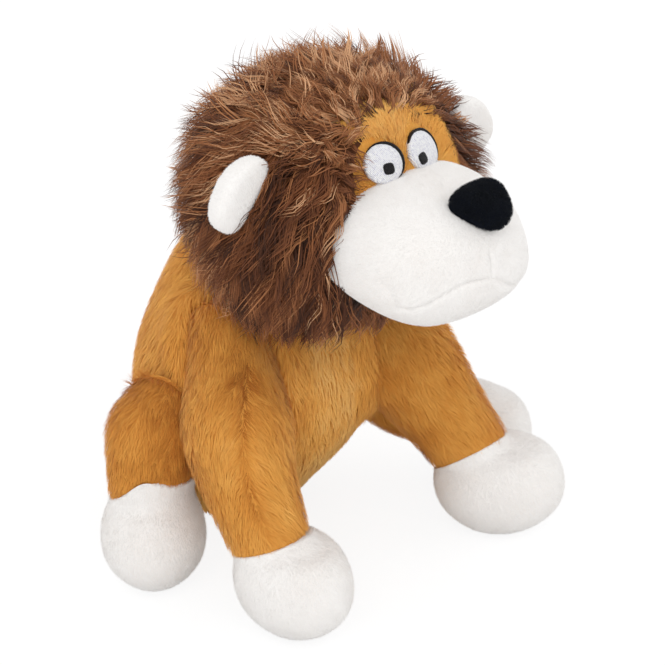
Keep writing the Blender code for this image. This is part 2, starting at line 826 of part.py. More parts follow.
def make_head(torso_form):
    head_form = ellipsoid("head_form", head_centre, head_halves)
    mane_form = ellipsoid("mane_form", mane_centre, mane_halves)
    muzzle = ellipsoid("muzzle_form", muzzle_centre, muzzle_halves, fullness=MUZZLE_FULLNESS)
    muzzle_form = faceted(muzzle)
    muzzle_clear = grown(muzzle_form, GAP, "muzzle_clear")
    neck_clear = pocket(neck_centre, NECK_RADIUS)
    obstacles = head_obstacles(torso_form)

    face_centre = Vector((0, head_centre.y, head_centre.z + FACE_DROP))
    face = oval(face_centre, X_AXIS, Z_AXIS, FACE_WIDTH, FACE_HEIGHT)
    face_hole = oval(face_centre, X_AXIS, Z_AXIS, FACE_WIDTH + 2 * GAP, FACE_HEIGHT + 2 * GAP)
    face_prism = prism("face", face, Y_AXIS, -BEYOND, 0)
    face_skin = within(shell(head_form, "face_skin_form"), face_prism)
    finish(without(face_skin, muzzle_clear), "face_skin", "orange_pile")

    mane = without(copied(mane_form, "mane_piece"), grown(head_form, -FABRIC, "head_inside"))
    ear_pockets = [pocket(ear_root(side), EAR_ROOT_RADIUS) for side in (-1, 1)]
    without(mane, prism("face_hole", face_hole, Y_AXIS, -BEYOND, 0), muzzle_clear)
    without(mane, neck_clear, *ear_pockets)
    finish(clear_of(mane, obstacles), "mane", "mane_pile")

    inset = -(FABRIC + GAP)
    filling = grown(head_form, inset, "head_filling_form")
    joined(filling, grown(muzzle_form, inset, "muzzle_filling_form"))
    without(filling, neck_clear)
    finish(clear_of(filling, obstacles), "head_filling", "filling")
    finish(ball("neck", neck_centre, NECK_RADIUS), "neck_filling", "filling")

    make_muzzle(muzzle_form, head_form)
    make_nose(muzzle_form)
    for side, name in ((-1, "right"), (1, "left")):
        make_eye("eye_" + name, side, head_form, muzzle_clear)
        make_ear("ear_" + name, side, mane_form)


lion, cutters = clear_scene()
materials = {name: make_material(name) for name in COLOURS}

head_halves = (HEAD_WIDTH / 2, HEAD_DEPTH / 2, HEAD_HEIGHT / 2)
head_centre = Vector((0, TORSO_CENTRE_Y - HEAD_AHEAD, TORSO_HEIGHT + HEAD_RISE))
mane_halves = (head_halves[0] + MANE_SIDE, head_halves[1] + MANE_DEEP, head_halves[2] + MANE_TOP)
mane_centre = head_centre + Y_AXIS * MANE_SHIFT
muzzle_halves = (MUZZLE_WIDTH / 2, MUZZLE_DEPTH / 2, MUZZLE_HEIGHT / 2)
muzzle_centre = head_centre - Y_AXIS * MUZZLE_REACH - Z_AXIS * MUZZLE_DROP
neck_centre = Vector((0, TORSO_CENTRE_Y - NECK_AHEAD, TORSO_HEIGHT - NECK_DROP))
below_ground = block("below_ground", -FAR_CORNER, Vector((BEYOND, BEYOND, 0)))

torso = make_torso_form()
legs = leg_measures()
pockets = [pocket(leg["joint"], leg["root"]) for leg in legs.values()]
pockets.append(pocket(neck_centre, NECK_RADIUS))
pockets.append(pocket(tail_root(), TAIL_ROOT_RADIUS))
make_torso(torso, pockets)

leg_forms = {name: make_leg_form(name, leg) for name, leg in legs.items()}
for name, leg in legs.items():
    ahead_of_it = {"rear_right": "front_right", "rear_left": "front_left"}.get(name)
    neighbours = []
    if ahead_of_it:
        front = legs[ahead_of_it]
        clear_form = grown(leg_forms[ahead_of_it], LEG_GAP, ahead_of_it + "_clear")
        neighbours = swung([clear_form], front["joint"], front["axis"], *front["range"])
    make_leg(name, leg, leg_forms[name], torso, neighbours)

make_head(torso)
make_tail(torso)
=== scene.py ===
import math
from functools import partial

import bmesh
import bpy
import numpy as np
from mathutils import Matrix, Vector
from mathutils.bvhtree import BVHTree


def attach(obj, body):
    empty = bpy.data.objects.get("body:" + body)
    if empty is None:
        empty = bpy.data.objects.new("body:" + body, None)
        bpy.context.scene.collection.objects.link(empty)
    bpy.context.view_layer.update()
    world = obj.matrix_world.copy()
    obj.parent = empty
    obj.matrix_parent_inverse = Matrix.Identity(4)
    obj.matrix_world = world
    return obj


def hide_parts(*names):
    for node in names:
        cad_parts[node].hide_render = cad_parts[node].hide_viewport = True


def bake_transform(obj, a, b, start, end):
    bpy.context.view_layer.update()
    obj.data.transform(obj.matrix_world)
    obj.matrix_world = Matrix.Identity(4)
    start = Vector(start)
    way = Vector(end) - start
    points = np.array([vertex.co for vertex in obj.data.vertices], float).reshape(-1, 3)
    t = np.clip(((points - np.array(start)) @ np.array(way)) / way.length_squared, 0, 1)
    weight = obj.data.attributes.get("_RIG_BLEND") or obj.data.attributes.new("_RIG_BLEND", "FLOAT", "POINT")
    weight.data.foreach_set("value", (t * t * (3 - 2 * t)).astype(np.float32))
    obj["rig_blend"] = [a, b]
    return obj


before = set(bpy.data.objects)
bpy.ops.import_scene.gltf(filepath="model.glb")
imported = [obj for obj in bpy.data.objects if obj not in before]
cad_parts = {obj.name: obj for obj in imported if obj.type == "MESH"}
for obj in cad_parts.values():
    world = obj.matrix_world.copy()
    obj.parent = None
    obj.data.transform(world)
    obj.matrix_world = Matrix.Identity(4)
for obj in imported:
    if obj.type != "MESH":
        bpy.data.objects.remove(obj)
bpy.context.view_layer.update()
print("frame loaded,", len(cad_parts), "nodes")

mm = 0.001
up = Vector((0, 0, 1))
sideways = Vector((1, 0, 0))
backward = Vector((0, 1, 0))


# meshes


def newPiece(name, mesh):
    piece = bpy.data.objects.new(name, mesh)
    bpy.context.scene.collection.objects.link(piece)
    return piece


def copyOf(piece, name):
    return newPiece(name, piece.data.copy())


def settled(piece):
    # modifiers applied, so that the mesh is final
    bpy.context.view_layer.update()
    graph = bpy.context.evaluated_depsgraph_get()
    mesh = bpy.data.meshes.new_from_object(piece.evaluated_get(graph))
    piece.modifiers.clear()
    piece.data = mesh
    return piece


def discard(*pieces):
    for piece in pieces:
        bpy.data.objects.remove(piece, do_unlink=True)


def vectorsOf(things, key):
    values = np.empty(len(things) * 3, np.float32)
    things.foreach_get(key, values)
    return values.reshape(-1, 3).astype(float)


def placesOf(piece):
    return vectorsOf(piece.data.vertices, "co")


def normalsOf(piece):
    return vectorsOf(piece.data.vertex_normals, "vector")


def setPlaces(piece, places):
    piece.data.vertices.foreach_set("co", places.astype(np.float32).ravel())
    piece.data.update()
    return piece


def shrunk(piece, amount):
    return setPlaces(piece, placesOf(piece) - normalsOf(piece) * amount)


def fromBmesh(name, shape):
    bmesh.ops.recalc_face_normals(shape, faces=shape.faces)
    mesh = bpy.data.meshes.new(name)
    shape.to_mesh(mesh)
    shape.free()
    mesh.shade_smooth()
    return newPiece(name, mesh)


def bridge(shape, low, high):
    # a band of faces between two closed loops of points
    for near in range(len(low)):
        far = (near + 1) % len(low)
        shape.faces.new((low[near], low[far], high[far], high[near]))


def loft(name, rings, levels):
    # a coarse cage of rings, softened by subdivision
    shape = bmesh.new()
    loops = [[shape.verts.new(point) for point in ring] for ring in rings]
    for low, high in zip(loops, loops[1:]):
        bridge(shape, low, high)
    shape.faces.new(loops[0][::-1])
    shape.faces.new(loops[-1])
    piece = fromBmesh(name, shape)
    soften = piece.modifiers.new("soften", "SUBSURF")
    soften.levels = levels
    soften.render_levels = levels
    settled(piece)
    piece.data.shade_smooth()
    return piece


def ring(centre, along, across, halfAlong, halfAcross, sides, corner=0):
    # cage points stand proud by the share that subdivision takes off a round ring
    proud = 6 / (4 + 2 * math.cos(math.tau / sides))
    points = []
    for step in range(sides):
        angle = math.tau * step / sides
        reach = proud * (1 + corner * math.cos(3 * angle))
        ahead = along * (halfAlong * reach * math.cos(angle))
        points.append(centre + ahead + across * (halfAcross * reach * math.sin(angle)))
    return points


def roundForm(name, centre, halves, cells, fullness=2.0):
    # a cube's grid blown up into an ellipsoid, or with fuller shoulders above a fullness of 2
    shape = bmesh.new()
    bmesh.ops.create_cube(shape, size=2)
    bmesh.ops.subdivide_edges(shape, edges=shape.edges[:], cuts=cells, use_grid_fill=True)
    for vert in shape.verts:
        spread = Vector([math.tan(part * math.pi / 4) for part in vert.co])
        size = sum(abs(part) ** fullness for part in spread) ** (1 / fullness)
        vert.co = Vector([c + h * part / size for c, h, part in zip(centre, halves, spread)])
    return fromBmesh(name, shape)


def cutAway(piece, point, normal):
    # removes what lies on the normal's side of a plane and closes the cut
    shape = bmesh.new()
    shape.from_mesh(piece.data)
    cut = bmesh.ops.bisect_plane(
        shape, geom=shape.verts[:] + shape.edges[:] + shape.faces[:],
        plane_co=point, plane_no=normal, clear_outer=True,
    )
    edges = [part for part in cut["geom_cut"] if isinstance(part, bmesh.types.BMEdge)]
    bmesh.ops.holes_fill(shape, edges=edges)
    shape.to_mesh(piece.data)
    shape.free()
    return piece


def combined(piece, operation, other):
    join = piece.modifiers.new("join", "BOOLEAN")
    join.operation = operation
    join.solver = "EXACT"
    join.object = other
    return settled(piece)


def remeshed(piece, size, rounds):
    voxels = piece.modifiers.new("voxels", "REMESH")
    voxels.mode = "VOXEL"
    voxels.voxel_size = size
    even = piece.modifiers.new("even", "SMOOTH")
    even.factor = 0.6
    even.iterations = rounds
    settled(piece)
    piece.data.shade_smooth()
    return piece


def treeOf(piece):
    shape = bmesh.new()
    shape.from_mesh(piece.data)
    tree = BVHTree.FromBMesh(shape)
    shape.free()
    return tree


# numbers for the points of a mesh


def smoothStep(values, low, high):
    t = np.clip((values - low) / (high - low), 0, 1)
    return t * t * (3 - 2 * t)


def bell(values, width):
    return np.exp(-((values / width) ** 2))


def unit(vectors):
    return vectors / np.linalg.norm(vectors, axis=1)[:, None]


def insideOf(places, tree):
    # how far each place lies inside a closed form, negative outside
    depth = np.empty(len(places))
    for index, place in enumerate(places):
        spot, normal, _, distance = tree.find_nearest(Vector(place))
        inward = (Vector(place) - spot).dot(normal) < 0
        depth[index] = distance if inward else -distance
    return depth


def thinned(places, tree, margin):
    # 1 where a root is clear of a neighbouring form, 0 where it is buried in it
    return 1 - smoothStep(insideOf(places, tree), margin - 1.5 * mm, margin + 1.5 * mm)


# node trees


def addNode(tree, kind, inputs=None, **settings):
    made = tree.nodes.new(kind)
    for key, value in settings.items():
        setattr(made, key, value)
    for place, source in (inputs or {}).items():
        if isinstance(source, bpy.types.NodeSocket):
            tree.links.new(source, made.inputs[place])
        else:
            made.inputs[place].default_value = source
    return made


def plainMath(operation, *parts):
    tree = next(part.id_data for part in parts if isinstance(part, bpy.types.NodeSocket))
    return addNode(tree, "ShaderNodeMath", dict(enumerate(parts)), operation=operation).outputs[0]


def vectorMath(operation, first, second=None, scale=None):
    inputs = {index: part for index, part in ((0, first), (1, second), (3, scale)) if part is not None}
    made = addNode(first.id_data, "ShaderNodeVectorMath", inputs, operation=operation)
    return made.outputs["Value" if operation in ("DOT_PRODUCT", "LENGTH") else "Vector"]


def scaled(vector, factor):
    return vectorMath("SCALE", vector, scale=factor)


times, plus, minus, over, timesPlus, greater = (
    partial(plainMath, name) for name in ("MULTIPLY", "ADD", "SUBTRACT", "DIVIDE", "MULTIPLY_ADD", "MAXIMUM")
)
added, taken, crossed, dotted, unitOf = (
    partial(vectorMath, name) for name in ("ADD", "SUBTRACT", "CROSS_PRODUCT", "DOT_PRODUCT", "NORMALIZE")
)


def noiseAt(vector, scale, detail, roughness=0.5):
    inputs = {"Vector": vector, "Scale": scale, "Detail": detail, "Roughness": roughness}
    return addNode(vector.id_data, "ShaderNodeTexNoise", inputs).outputs


# finishes


def linear(colour):
    shares = [part / 255 for part in colour]
    return tuple(s / 12.92 if s < 0.04045 else ((s + 0.055) / 1.055) ** 2.4 for s in shares)


def newFinish(name, roughness, sheen, specular):
    finish = bpy.data.materials.new(name)
    finish.use_nodes = True
    shader = finish.node_tree.nodes["Principled BSDF"].inputs
    shader["Roughness"].default_value = roughness
    shader["Specular IOR Level"].default_value = specular
    shader["Sheen Weight"].default_value = sheen
    shader["Sheen Roughness"].default_value = 0.5
    return finish, finish.node_tree, shader


def colourRamp(tree, factor, stops):
    made = addNode(tree, "ShaderNodeValToRGB", {"Fac": factor})
    elements = made.color_ramp.elements
    while len(elements) < len(stops):
        elements.new(0.5)
    for element, (place, colour) in zip(elements, stops):
        element.position = place
        element.color = (*colour, 1)
    return made.outputs["Color"]


def tinted(tree, factor, stops, shader):
    ramp = colourRamp(tree, factor, [(place, linear(colour)) for place, colour in stops])
    tree.links.new(ramp, shader["Base Color"])
    return ramp


def embossed(tree, height, bump, shader):
    relief = addNode(tree, "ShaderNodeBump", {"Height": height, "Strength": 1.0, "Distance": bump})
    tree.links.new(relief.outputs["Normal"], shader["Normal"])


def strandFinish(name, stops, rootPaintedShade, roughness, sheen=0.0, specular=0.2, tipFrom=0.55):
    # colour by the strand's own shade across, times painted shade that darkens it towards its root
    finish, tree, shader = newFinish(name, roughness, sheen, specular)
    where = addNode(tree, "ShaderNodeUVMap", uv_map="OFBake")
    parts = addNode(tree, "ShaderNodeSeparateXYZ", {0: where.outputs["UV"]}).outputs
    # painted shade: each strand darker towards its root, where the pile shades itself
    depth = colourRamp(tree, parts["Y"], [(0, (rootPaintedShade,) * 3), (tipFrom, (1, 1, 1))])
    colour = tinted(tree, parts["X"], stops, shader)
    both = addNode(tree, "ShaderNodeMix", data_type="RGBA", blend_type="MULTIPLY", clamp_factor=True)
    both.inputs[0].default_value = 1
    tree.links.new(colour, both.inputs[6])
    tree.links.new(depth, both.inputs[7])
    tree.links.new(both.outputs[2], shader["Base Color"])
    return finish


def clothFinish(name, stops, patch, grain, bump, roughness=0.9, sheen=0.0, specular=0.2):
    # patches of tone under a fine grain, both in the piece's own coordinates
    finish, tree, shader = newFinish(name, roughness, sheen, specular)
    where = addNode(tree, "ShaderNodeTexCoord").outputs["Object"]
    patches = noiseAt(where, patch, 3.0)["Fac"]
    fine = noiseAt(where, grain, 4.0, 0.65)["Fac"]
    tinted(tree, timesPlus(fine, 0.5, times(patches, 0.5)), stops, shader)
    embossed(tree, fine, bump, shader)
    return finish


def threadFinish(name, stops, thread, lay, bump, roughness, sheen=0.0, specular=0.15):
    # satin embroidery: rows of thread, bumped and painted lighter along each row as a painted sheen, with a
    # little mottling
    finish, tree, shader = newFinish(name, roughness, sheen, specular)
    where = addNode(tree, "ShaderNodeTexCoord").outputs["Object"]
    turned = addNode(tree, "ShaderNodeMapping", {"Vector": where, "Rotation": lay}).outputs["Vector"]
    rows = addNode(
        tree, "ShaderNodeTexWave",
        {"Vector": turned, "Scale": thread, "Distortion": 2.5, "Detail": 2.0, "Detail Scale": 1.5},
        wave_type="BANDS", bands_direction="X",
    ).outputs["Fac"]
    mottle = noiseAt(turned, 900.0, 3.0, 0.7)["Fac"]
    # painted sheen: lighter along each row of thread, over the thread's own mottling
    tinted(tree, timesPlus(rows, 0.3, times(mottle, 0.7)), stops, shader)
    embossed(tree, rows, bump, shader)
    return finish


# how each is made, the record's slot that it stands for, and its values
finishRecipes = {
    "orangeStrands": (strandFinish, "orange_pile", {
        "stops": [(0, (184, 108, 36)), (0.3, (228, 158, 68)), (0.6, (242, 180, 88)), (1, (250, 204, 122))],
        "rootPaintedShade": 0.9, "roughness": 0.8, "sheen": 0.1,
    }),
    "orangeCloth": (clothFinish, "orange_pile", {
        "stops": [(0.35, (222, 150, 64)), (0.65, (238, 174, 84))],
        "patch": 40, "grain": 700, "bump": 0.8 * mm,
    }),
    "maneStrands": (strandFinish, "mane_pile", {
        "stops": [
            (0, (54, 28, 14)), (0.3, (98, 54, 29)), (0.55, (132, 79, 45)), (0.8, (172, 114, 72)),
            (1, (220, 172, 130)),
        ],
        "rootPaintedShade": 0.55, "roughness": 0.55, "tipFrom": 0.5,
    }),
    # dark base under the hair: painted shade deep in the mane and the tail's tuft
    "maneCloth": (clothFinish, "mane_pile", {
        "stops": [(0.35, (66, 36, 20)), (0.65, (92, 54, 32))], "patch": 60, "grain": 500, "bump": 1 * mm,
    }),
    "whiteVelour": (clothFinish, "white_velour", {
        "stops": [(0.3, (240, 234, 229)), (0.5, (246, 243, 240)), (0.7, (250, 248, 246))],
        "patch": 30, "grain": 1400, "bump": 0.25 * mm, "sheen": 0.2,
    }),
    "whiteStrands": (strandFinish, "white_velour", {
        "stops": [(0, (241, 238, 235)), (0.5, (247, 245, 243)), (1, (252, 251, 250))],
        "rootPaintedShade": 0.97, "roughness": 0.9,
    }),
    "blackVelour": (clothFinish, "black_pile", {
        "stops": [(0.35, (6, 8, 11)), (0.65, (14, 18, 25))],
        "patch": 80, "grain": 1200, "bump": 0.5 * mm, "specular": 0.1,
    }),
    "blackStrands": (strandFinish, "black_pile", {
        "stops": [(0, (6, 8, 13)), (0.6, (14, 18, 28)), (1, (40, 46, 60))],
        "rootPaintedShade": 0.6, "roughness": 0.9, "sheen": 0.04, "specular": 0.1,
    }),
    "whiteThread": (threadFinish, "eye_thread", {
        "stops": [(0.3, (190, 188, 212)), (0.4, (240, 240, 250)), (0.48, (255, 255, 255))],
        "thread": 420, "lay": (0, 0.5, 0), "bump": 0.3 * mm, "roughness": 0.45, "sheen": 0.1, "specular": 0.4,
    }),
    "darkThread": (threadFinish, "charcoal_thread", {
        "stops": [(0.3, (8, 8, 10)), (0.5, (20, 19, 22)), (0.7, (52, 50, 54))],
        "thread": 520, "lay": (0, 0.9, 0.4), "bump": 0.3 * mm, "roughness": 0.4,
    }),
}
finishes = {name: make(name, **values) for name, (make, _, values) in finishRecipes.items()}
print("finishes made")


def keep(piece, name, finish, body=None, nodes=()):
    # a finished piece, with what it rides on and the nodes that it stands for
    piece.name = name
    piece.data.name = name
    piece.data.materials.clear()
    piece.data.materials.append(finishes[finish])
    if nodes:
        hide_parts(*nodes)
    if body:
        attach(piece, body)


# pile: strands that follow a surface, by Geometry Nodes

pileBasics = {
    "Density": 0.5e6, "Length": 8 * mm, "Width": 0.5 * mm, "Vary": 0.3,
    "Lift": 0.42, "Sag": 0.14, "Lean": 0.6, "Sweep": 0.42, "Wave": 0.05, "Waves": 0.7,
    "Clump size": 8 * mm, "Clump pull": 0.3, "Stray": 0.5, "Swirl": 0.6, "Swirl size": 45 * mm,
    "Together": 0.0, "Frizz": 0.17, "Roll": 0.3, "Soften": 0.95, "Rounding": 0.0, "Ground": 0.3 * mm,
    "Strand shade": 0.14, "Clump shade": 0.2, "Edge shade": 0.0, "Patch shade": 0.8, "Patch size": 30 * mm,
}


def strandMesh(steps):
    # one flat tapering strand: side runs from -1 to 1 across it, along from 0 to 1
    shape = bmesh.new()
    side = shape.verts.layers.float.new("side")
    along = shape.verts.layers.float.new("along")
    rows = []
    for step in range(steps):
        v = step / steps
        taper = (1 - v) ** 0.45
        row = []
        for way in (-1, 1):
            vert = shape.verts.new((way, v, 0))
            vert[side] = way * taper
            vert[along] = v
            row.append(vert)
        rows.append(row)
    tip = shape.verts.new((0, 1, 0))
    tip[along] = 1
    for low, high in zip(rows, rows[1:]):
        shape.faces.new((low[0], low[1], high[1], high[0]))
    shape.faces.new((rows[-1][0], rows[-1][1], tip))
    mesh = bpy.data.meshes.new("strand")
    shape.to_mesh(mesh)
    shape.free()
    strand = newPiece("strand" + str(steps), mesh)
    strand.hide_render = True
    return strand


def buildPileTree():
    tree = bpy.data.node_groups.new("pileStrands", "GeometryNodeTree")
    kinds = {"Base": "Geometry", "Strand": "Object", **dict.fromkeys(pileBasics, "Float")}
    kinds.update({"Seed": "Int", "Finish": "Material"})
    names = {}
    for name, kind in kinds.items():
        made = tree.interface.new_socket(name=name, in_out="INPUT", socket_type="NodeSocket" + kind)
        names[name] = made.identifier
    tree.interface.new_socket(name="Pile", in_out="OUTPUT", socket_type="NodeSocketGeometry")
    given = tree.nodes.new("NodeGroupInput").outputs

    def named(name, kind="FLOAT_VECTOR"):
        return addNode(tree, "GeometryNodeInputNamedAttribute", {"Name": name}, data_type=kind).outputs[0]

    def number(name):
        return named(name, "FLOAT")

    def stored(geometry, name, value, kind="FLOAT_VECTOR", domain="POINT"):
        inputs = {"Geometry": geometry, "Name": name, "Value": value}
        made = addNode(tree, "GeometryNodeStoreNamedAttribute", inputs, data_type=kind, domain=domain)
        return made.outputs[0]

    def scatter(step, low, high):
        inputs = {2: low, 3: high, 8: plus(given["Seed"], step)}
        return addNode(tree, "FunctionNodeRandomValue", inputs, data_type="FLOAT").outputs[1]

    def scatterVector(step):
        inputs = {0: (-1, -1, -1), 1: (1, 1, 1), 8: plus(given["Seed"], step)}
        return addNode(tree, "FunctionNodeRandomValue", inputs, data_type="FLOAT_VECTOR").outputs[0]

    # roots, thinner where cover is low
    rooted = addNode(
        tree, "GeometryNodeDistributePointsOnFaces",
        {"Mesh": given["Base"], "Density": times(given["Density"], number("cover")), "Seed": given["Seed"]},
        distribute_method="RANDOM",
    ).outputs
    out = rooted["Normal"]
    root = addNode(tree, "GeometryNodeInputPosition").outputs[0]

    # which way each strand lies: combed, swirled, and each clump a little astray
    cells = addNode(
        tree, "ShaderNodeTexVoronoi", {"Vector": root, "Scale": over(1.0, given["Clump size"])}, feature="F1"
    ).outputs
    toCell = taken(cells["Position"], root)
    sampled = added(root, scaled(toCell, given["Together"]))
    swirl = noiseAt(sampled, over(1.0, given["Swirl size"]), 1.0)["Color"]
    way = named("comb")
    for colour, amount in ((swirl, "Swirl"), (cells["Color"], "Stray")):
        way = added(way, scaled(taken(colour, (0.5, 0.5, 0.5)), given[amount]))
    way = added(way, scaled(scatterVector(1), given["Frizz"]))

    def flattened(vector):
        return taken(vector, scaled(out, dotted(vector, out)))

    lie = unitOf(flattened(way))
    pull = flattened(toCell)
    share = plus(minus(1.0, given["Vary"]), times(scatter(2, 0.0, 1.0), given["Vary"]))
    length = times(given["Length"], times(number("pile"), share))
    rolled = added(out, scaled(scatterVector(3), given["Roll"]))
    across = unitOf(crossed(lie, rolled))

    # shade: by strand, by clump, painted shade towards each clump's edge where locks part, by broad patch,
    # and by what the base says, which holds painted shade and light too
    patch = noiseAt(root, over(1.0, given["Patch size"]), 2.0)["Fac"]
    offCentre = over(vectorMath("LENGTH", pull), given["Clump size"])
    cellShade = dotted(cells["Color"], (0.5, 0.5, 0.0))
    shade = plus(number("tone"), 0.5)
    for amount, weight in (
        (scatter(4, -0.5, 0.5), "Strand shade"),
        (minus(cellShade, 0.5), "Clump shade"),
        # painted shade: darker away from a clump's middle, in the gaps between locks
        (minus(0.5, offCentre), "Edge shade"),
        (minus(patch, 0.5), "Patch shade"),
    ):
        shade = timesPlus(amount, given[weight], shade)
    shade = addNode(tree, "ShaderNodeClamp", {0: shade, 1: 0.03, 2: 0.97}).outputs[0]

    cloud = rooted["Points"]
    for name, value in (
        ("rootAt", root),
        ("liftBy", scaled(out, length)),
        ("sweepBy", scaled(lie, length)),
        ("pullBy", scaled(pull, given["Clump pull"])),
        ("bulgeBy", scaled(pull, over(given["Rounding"], given["Clump size"]))),
        ("acrossBy", across),
        ("waveBy", scaled(across, times(length, given["Wave"]))),
    ):
        cloud = stored(cloud, name, value)
    cloud = stored(cloud, "shade", shade, "FLOAT")
    own = times(scatter(5, 0.0, math.tau), minus(1.0, given["Together"]))
    cloud = stored(cloud, "phase", timesPlus(times(cellShade, 40.0), given["Together"], own), "FLOAT")
    strand = addNode(tree, "GeometryNodeObjectInfo", {0: given["Strand"]}).outputs["Geometry"]
    placed = addNode(tree, "GeometryNodeInstanceOnPoints", {"Points": cloud, "Instance": strand}).outputs[0]
    real = addNode(tree, "GeometryNodeRealizeInstances", {0: placed}).outputs[0]

    # every point of every strand
    v = number("along")
    side = number("side")
    phase = number("phase")
    v2 = times(v, v)
    turn = plus(times(v, times(given["Waves"], math.tau)), phase)
    place = named("rootAt")
    for name, amount in (
        ("liftBy", minus(times(v, given["Lift"]), times(v2, given["Sag"]))),
        ("sweepBy", plus(times(v, given["Lean"]), times(v2, given["Sweep"]))),
        ("pullBy", plainMath("POWER", v, 1.4)),
        ("waveBy", times(v, minus(plainMath("SINE", turn), plainMath("SINE", phase)))),
        ("acrossBy", times(side, times(given["Width"], 0.5))),
    ):
        place = added(place, scaled(named(name), amount))
    parts = addNode(tree, "ShaderNodeSeparateXYZ", {0: place}).outputs
    grounded = greater(parts["Z"], given["Ground"])
    place = addNode(tree, "ShaderNodeCombineXYZ", {0: parts["X"], 1: parts["Y"], 2: grounded}).outputs[0]
    real = addNode(tree, "GeometryNodeSetPosition", {"Geometry": real, "Position": place}).outputs[0]

    # shading leans towards the surface under the strand, so that the pile reads as one soft coat
    climb = timesPlus(times(v, given["Sag"]), -2.0, given["Lift"])
    reach = timesPlus(times(v, given["Sweep"]), 2.0, given["Lean"])
    course = added(scaled(named("liftBy"), climb), scaled(named("sweepBy"), reach))
    facing = unitOf(crossed(named("acrossBy"), course))
    ground = unitOf(taken(unitOf(named("liftBy")), named("bulgeBy")))
    shaded = unitOf(added(facing, scaled(taken(ground, facing), given["Soften"])))
    inputs = {"Mesh": real, "Custom Normal": shaded}
    real = addNode(tree, "GeometryNodeSetMeshNormal", inputs, mode="FREE", domain="POINT").outputs[0]
    shadeAcross = timesPlus(side, 0.012, number("shade"))
    bake = addNode(tree, "ShaderNodeCombineXYZ", {0: shadeAcross, 1: v}).outputs[0]
    real = stored(real, "OFBake", bake, "FLOAT2", "CORNER")
    inputs = {"Geometry": real, "Material": given["Finish"]}
    real = addNode(tree, "GeometryNodeSetMaterial", inputs).outputs[0]
    tree.links.new(real, tree.nodes.new("NodeGroupOutput").inputs[0])
    return tree, names


pileTree, pileSockets = buildPileTree()
strands = {steps: strandMesh(steps) for steps in (1, 2, 3, 4, 5)}
helpers = (
    "comb", "pile", "cover", "tone", "side", "along", "shade", "phase",
    "rootAt", "liftBy", "sweepBy", "pullBy", "bulgeBy", "acrossBy", "waveBy",
)


def growPile(base, name, steps, finish, recipe, seed, comb, pile=1.0, cover=1.0, tone=0.0):
    # comb is a direction, and pile, cover and tone are numbers, for each vertex of the base or for all
    source = copyOf(base, name)
    layers = source.data.attributes
    count = len(source.data.vertices)
    combed = np.broadcast_to(comb, (count, 3)).astype(np.float32)
    layers.new("comb", "FLOAT_VECTOR", "POINT").data.foreach_set("vector", combed.ravel())
    for label, values in (("pile", pile), ("cover", cover), ("tone", tone)):
        filled = np.broadcast_to(values, count).astype(np.float32)
        layers.new(label, "FLOAT", "POINT").data.foreach_set("value", filled)
    grow = source.modifiers.new("pile", "NODES")
    grow.node_group = pileTree
    for label, value in {**pileBasics, **recipe}.items():
        grow[pileSockets[label]] = float(value)
    grow[pileSockets["Strand"]] = strands[steps]
    grow[pileSockets["Seed"]] = seed
    grow[pileSockets["Finish"]] = finishes[finish]
    settled(source)
    layers = source.data.attributes
    for label in [layer.name for layer in layers if layer.name in helpers]:
        layers.remove(layers[label])
    source.data.uv_layers[0].active = True
    print(name, len(source.data.polygons), "faces")
    return source


# torso

torsoShape = {
    "height": 188 * mm, "width": 142 * mm, "depth": 130 * mm, "sides": 8, "inset": 4 * mm,
    # height, set-back, half width and half depth of each ring
    "rings": (
        (0.000, 0.130, 0.340, 0.340), (0.022, 0.125, 0.500, 0.480), (0.130, 0.100, 0.740, 0.630),
        (0.270, 0.040, 0.930, 0.880), (0.500, 0.004, 1.040, 1.050), (0.730, 0.005, 0.830, 0.770),
        (0.880, 0.045, 0.610, 0.480), (1.000, 0.070, 0.240, 0.180),
    ),
}
torsoPile = {"Length": 8.5 * mm, "Density": 0.85e6, "Width": 0.45 * mm, "Clump size": 6 * mm}


def makeTorsoForm():
    rings = []
    front = -torsoShape["rings"][0][1] * torsoShape["depth"]
    for height, back, wide, deep in torsoShape["rings"]:
        centre = Vector((0, front + back * torsoShape["depth"], height * torsoShape["height"]))
        half = (wide * torsoShape["width"] / 2, deep * torsoShape["depth"] / 2)
        rings.append(ring(centre, sideways, backward, *half, torsoShape["sides"]))
    return loft("torsoForm", rings, 4)


torsoForm = makeTorsoForm()
torsoTree = treeOf(torsoForm)
torsoCover = shrunk(copyOf(torsoForm, "torsoCover"), torsoShape["inset"])
torsoCoverTree = treeOf(torsoCover)
print("torso formed")


# legs

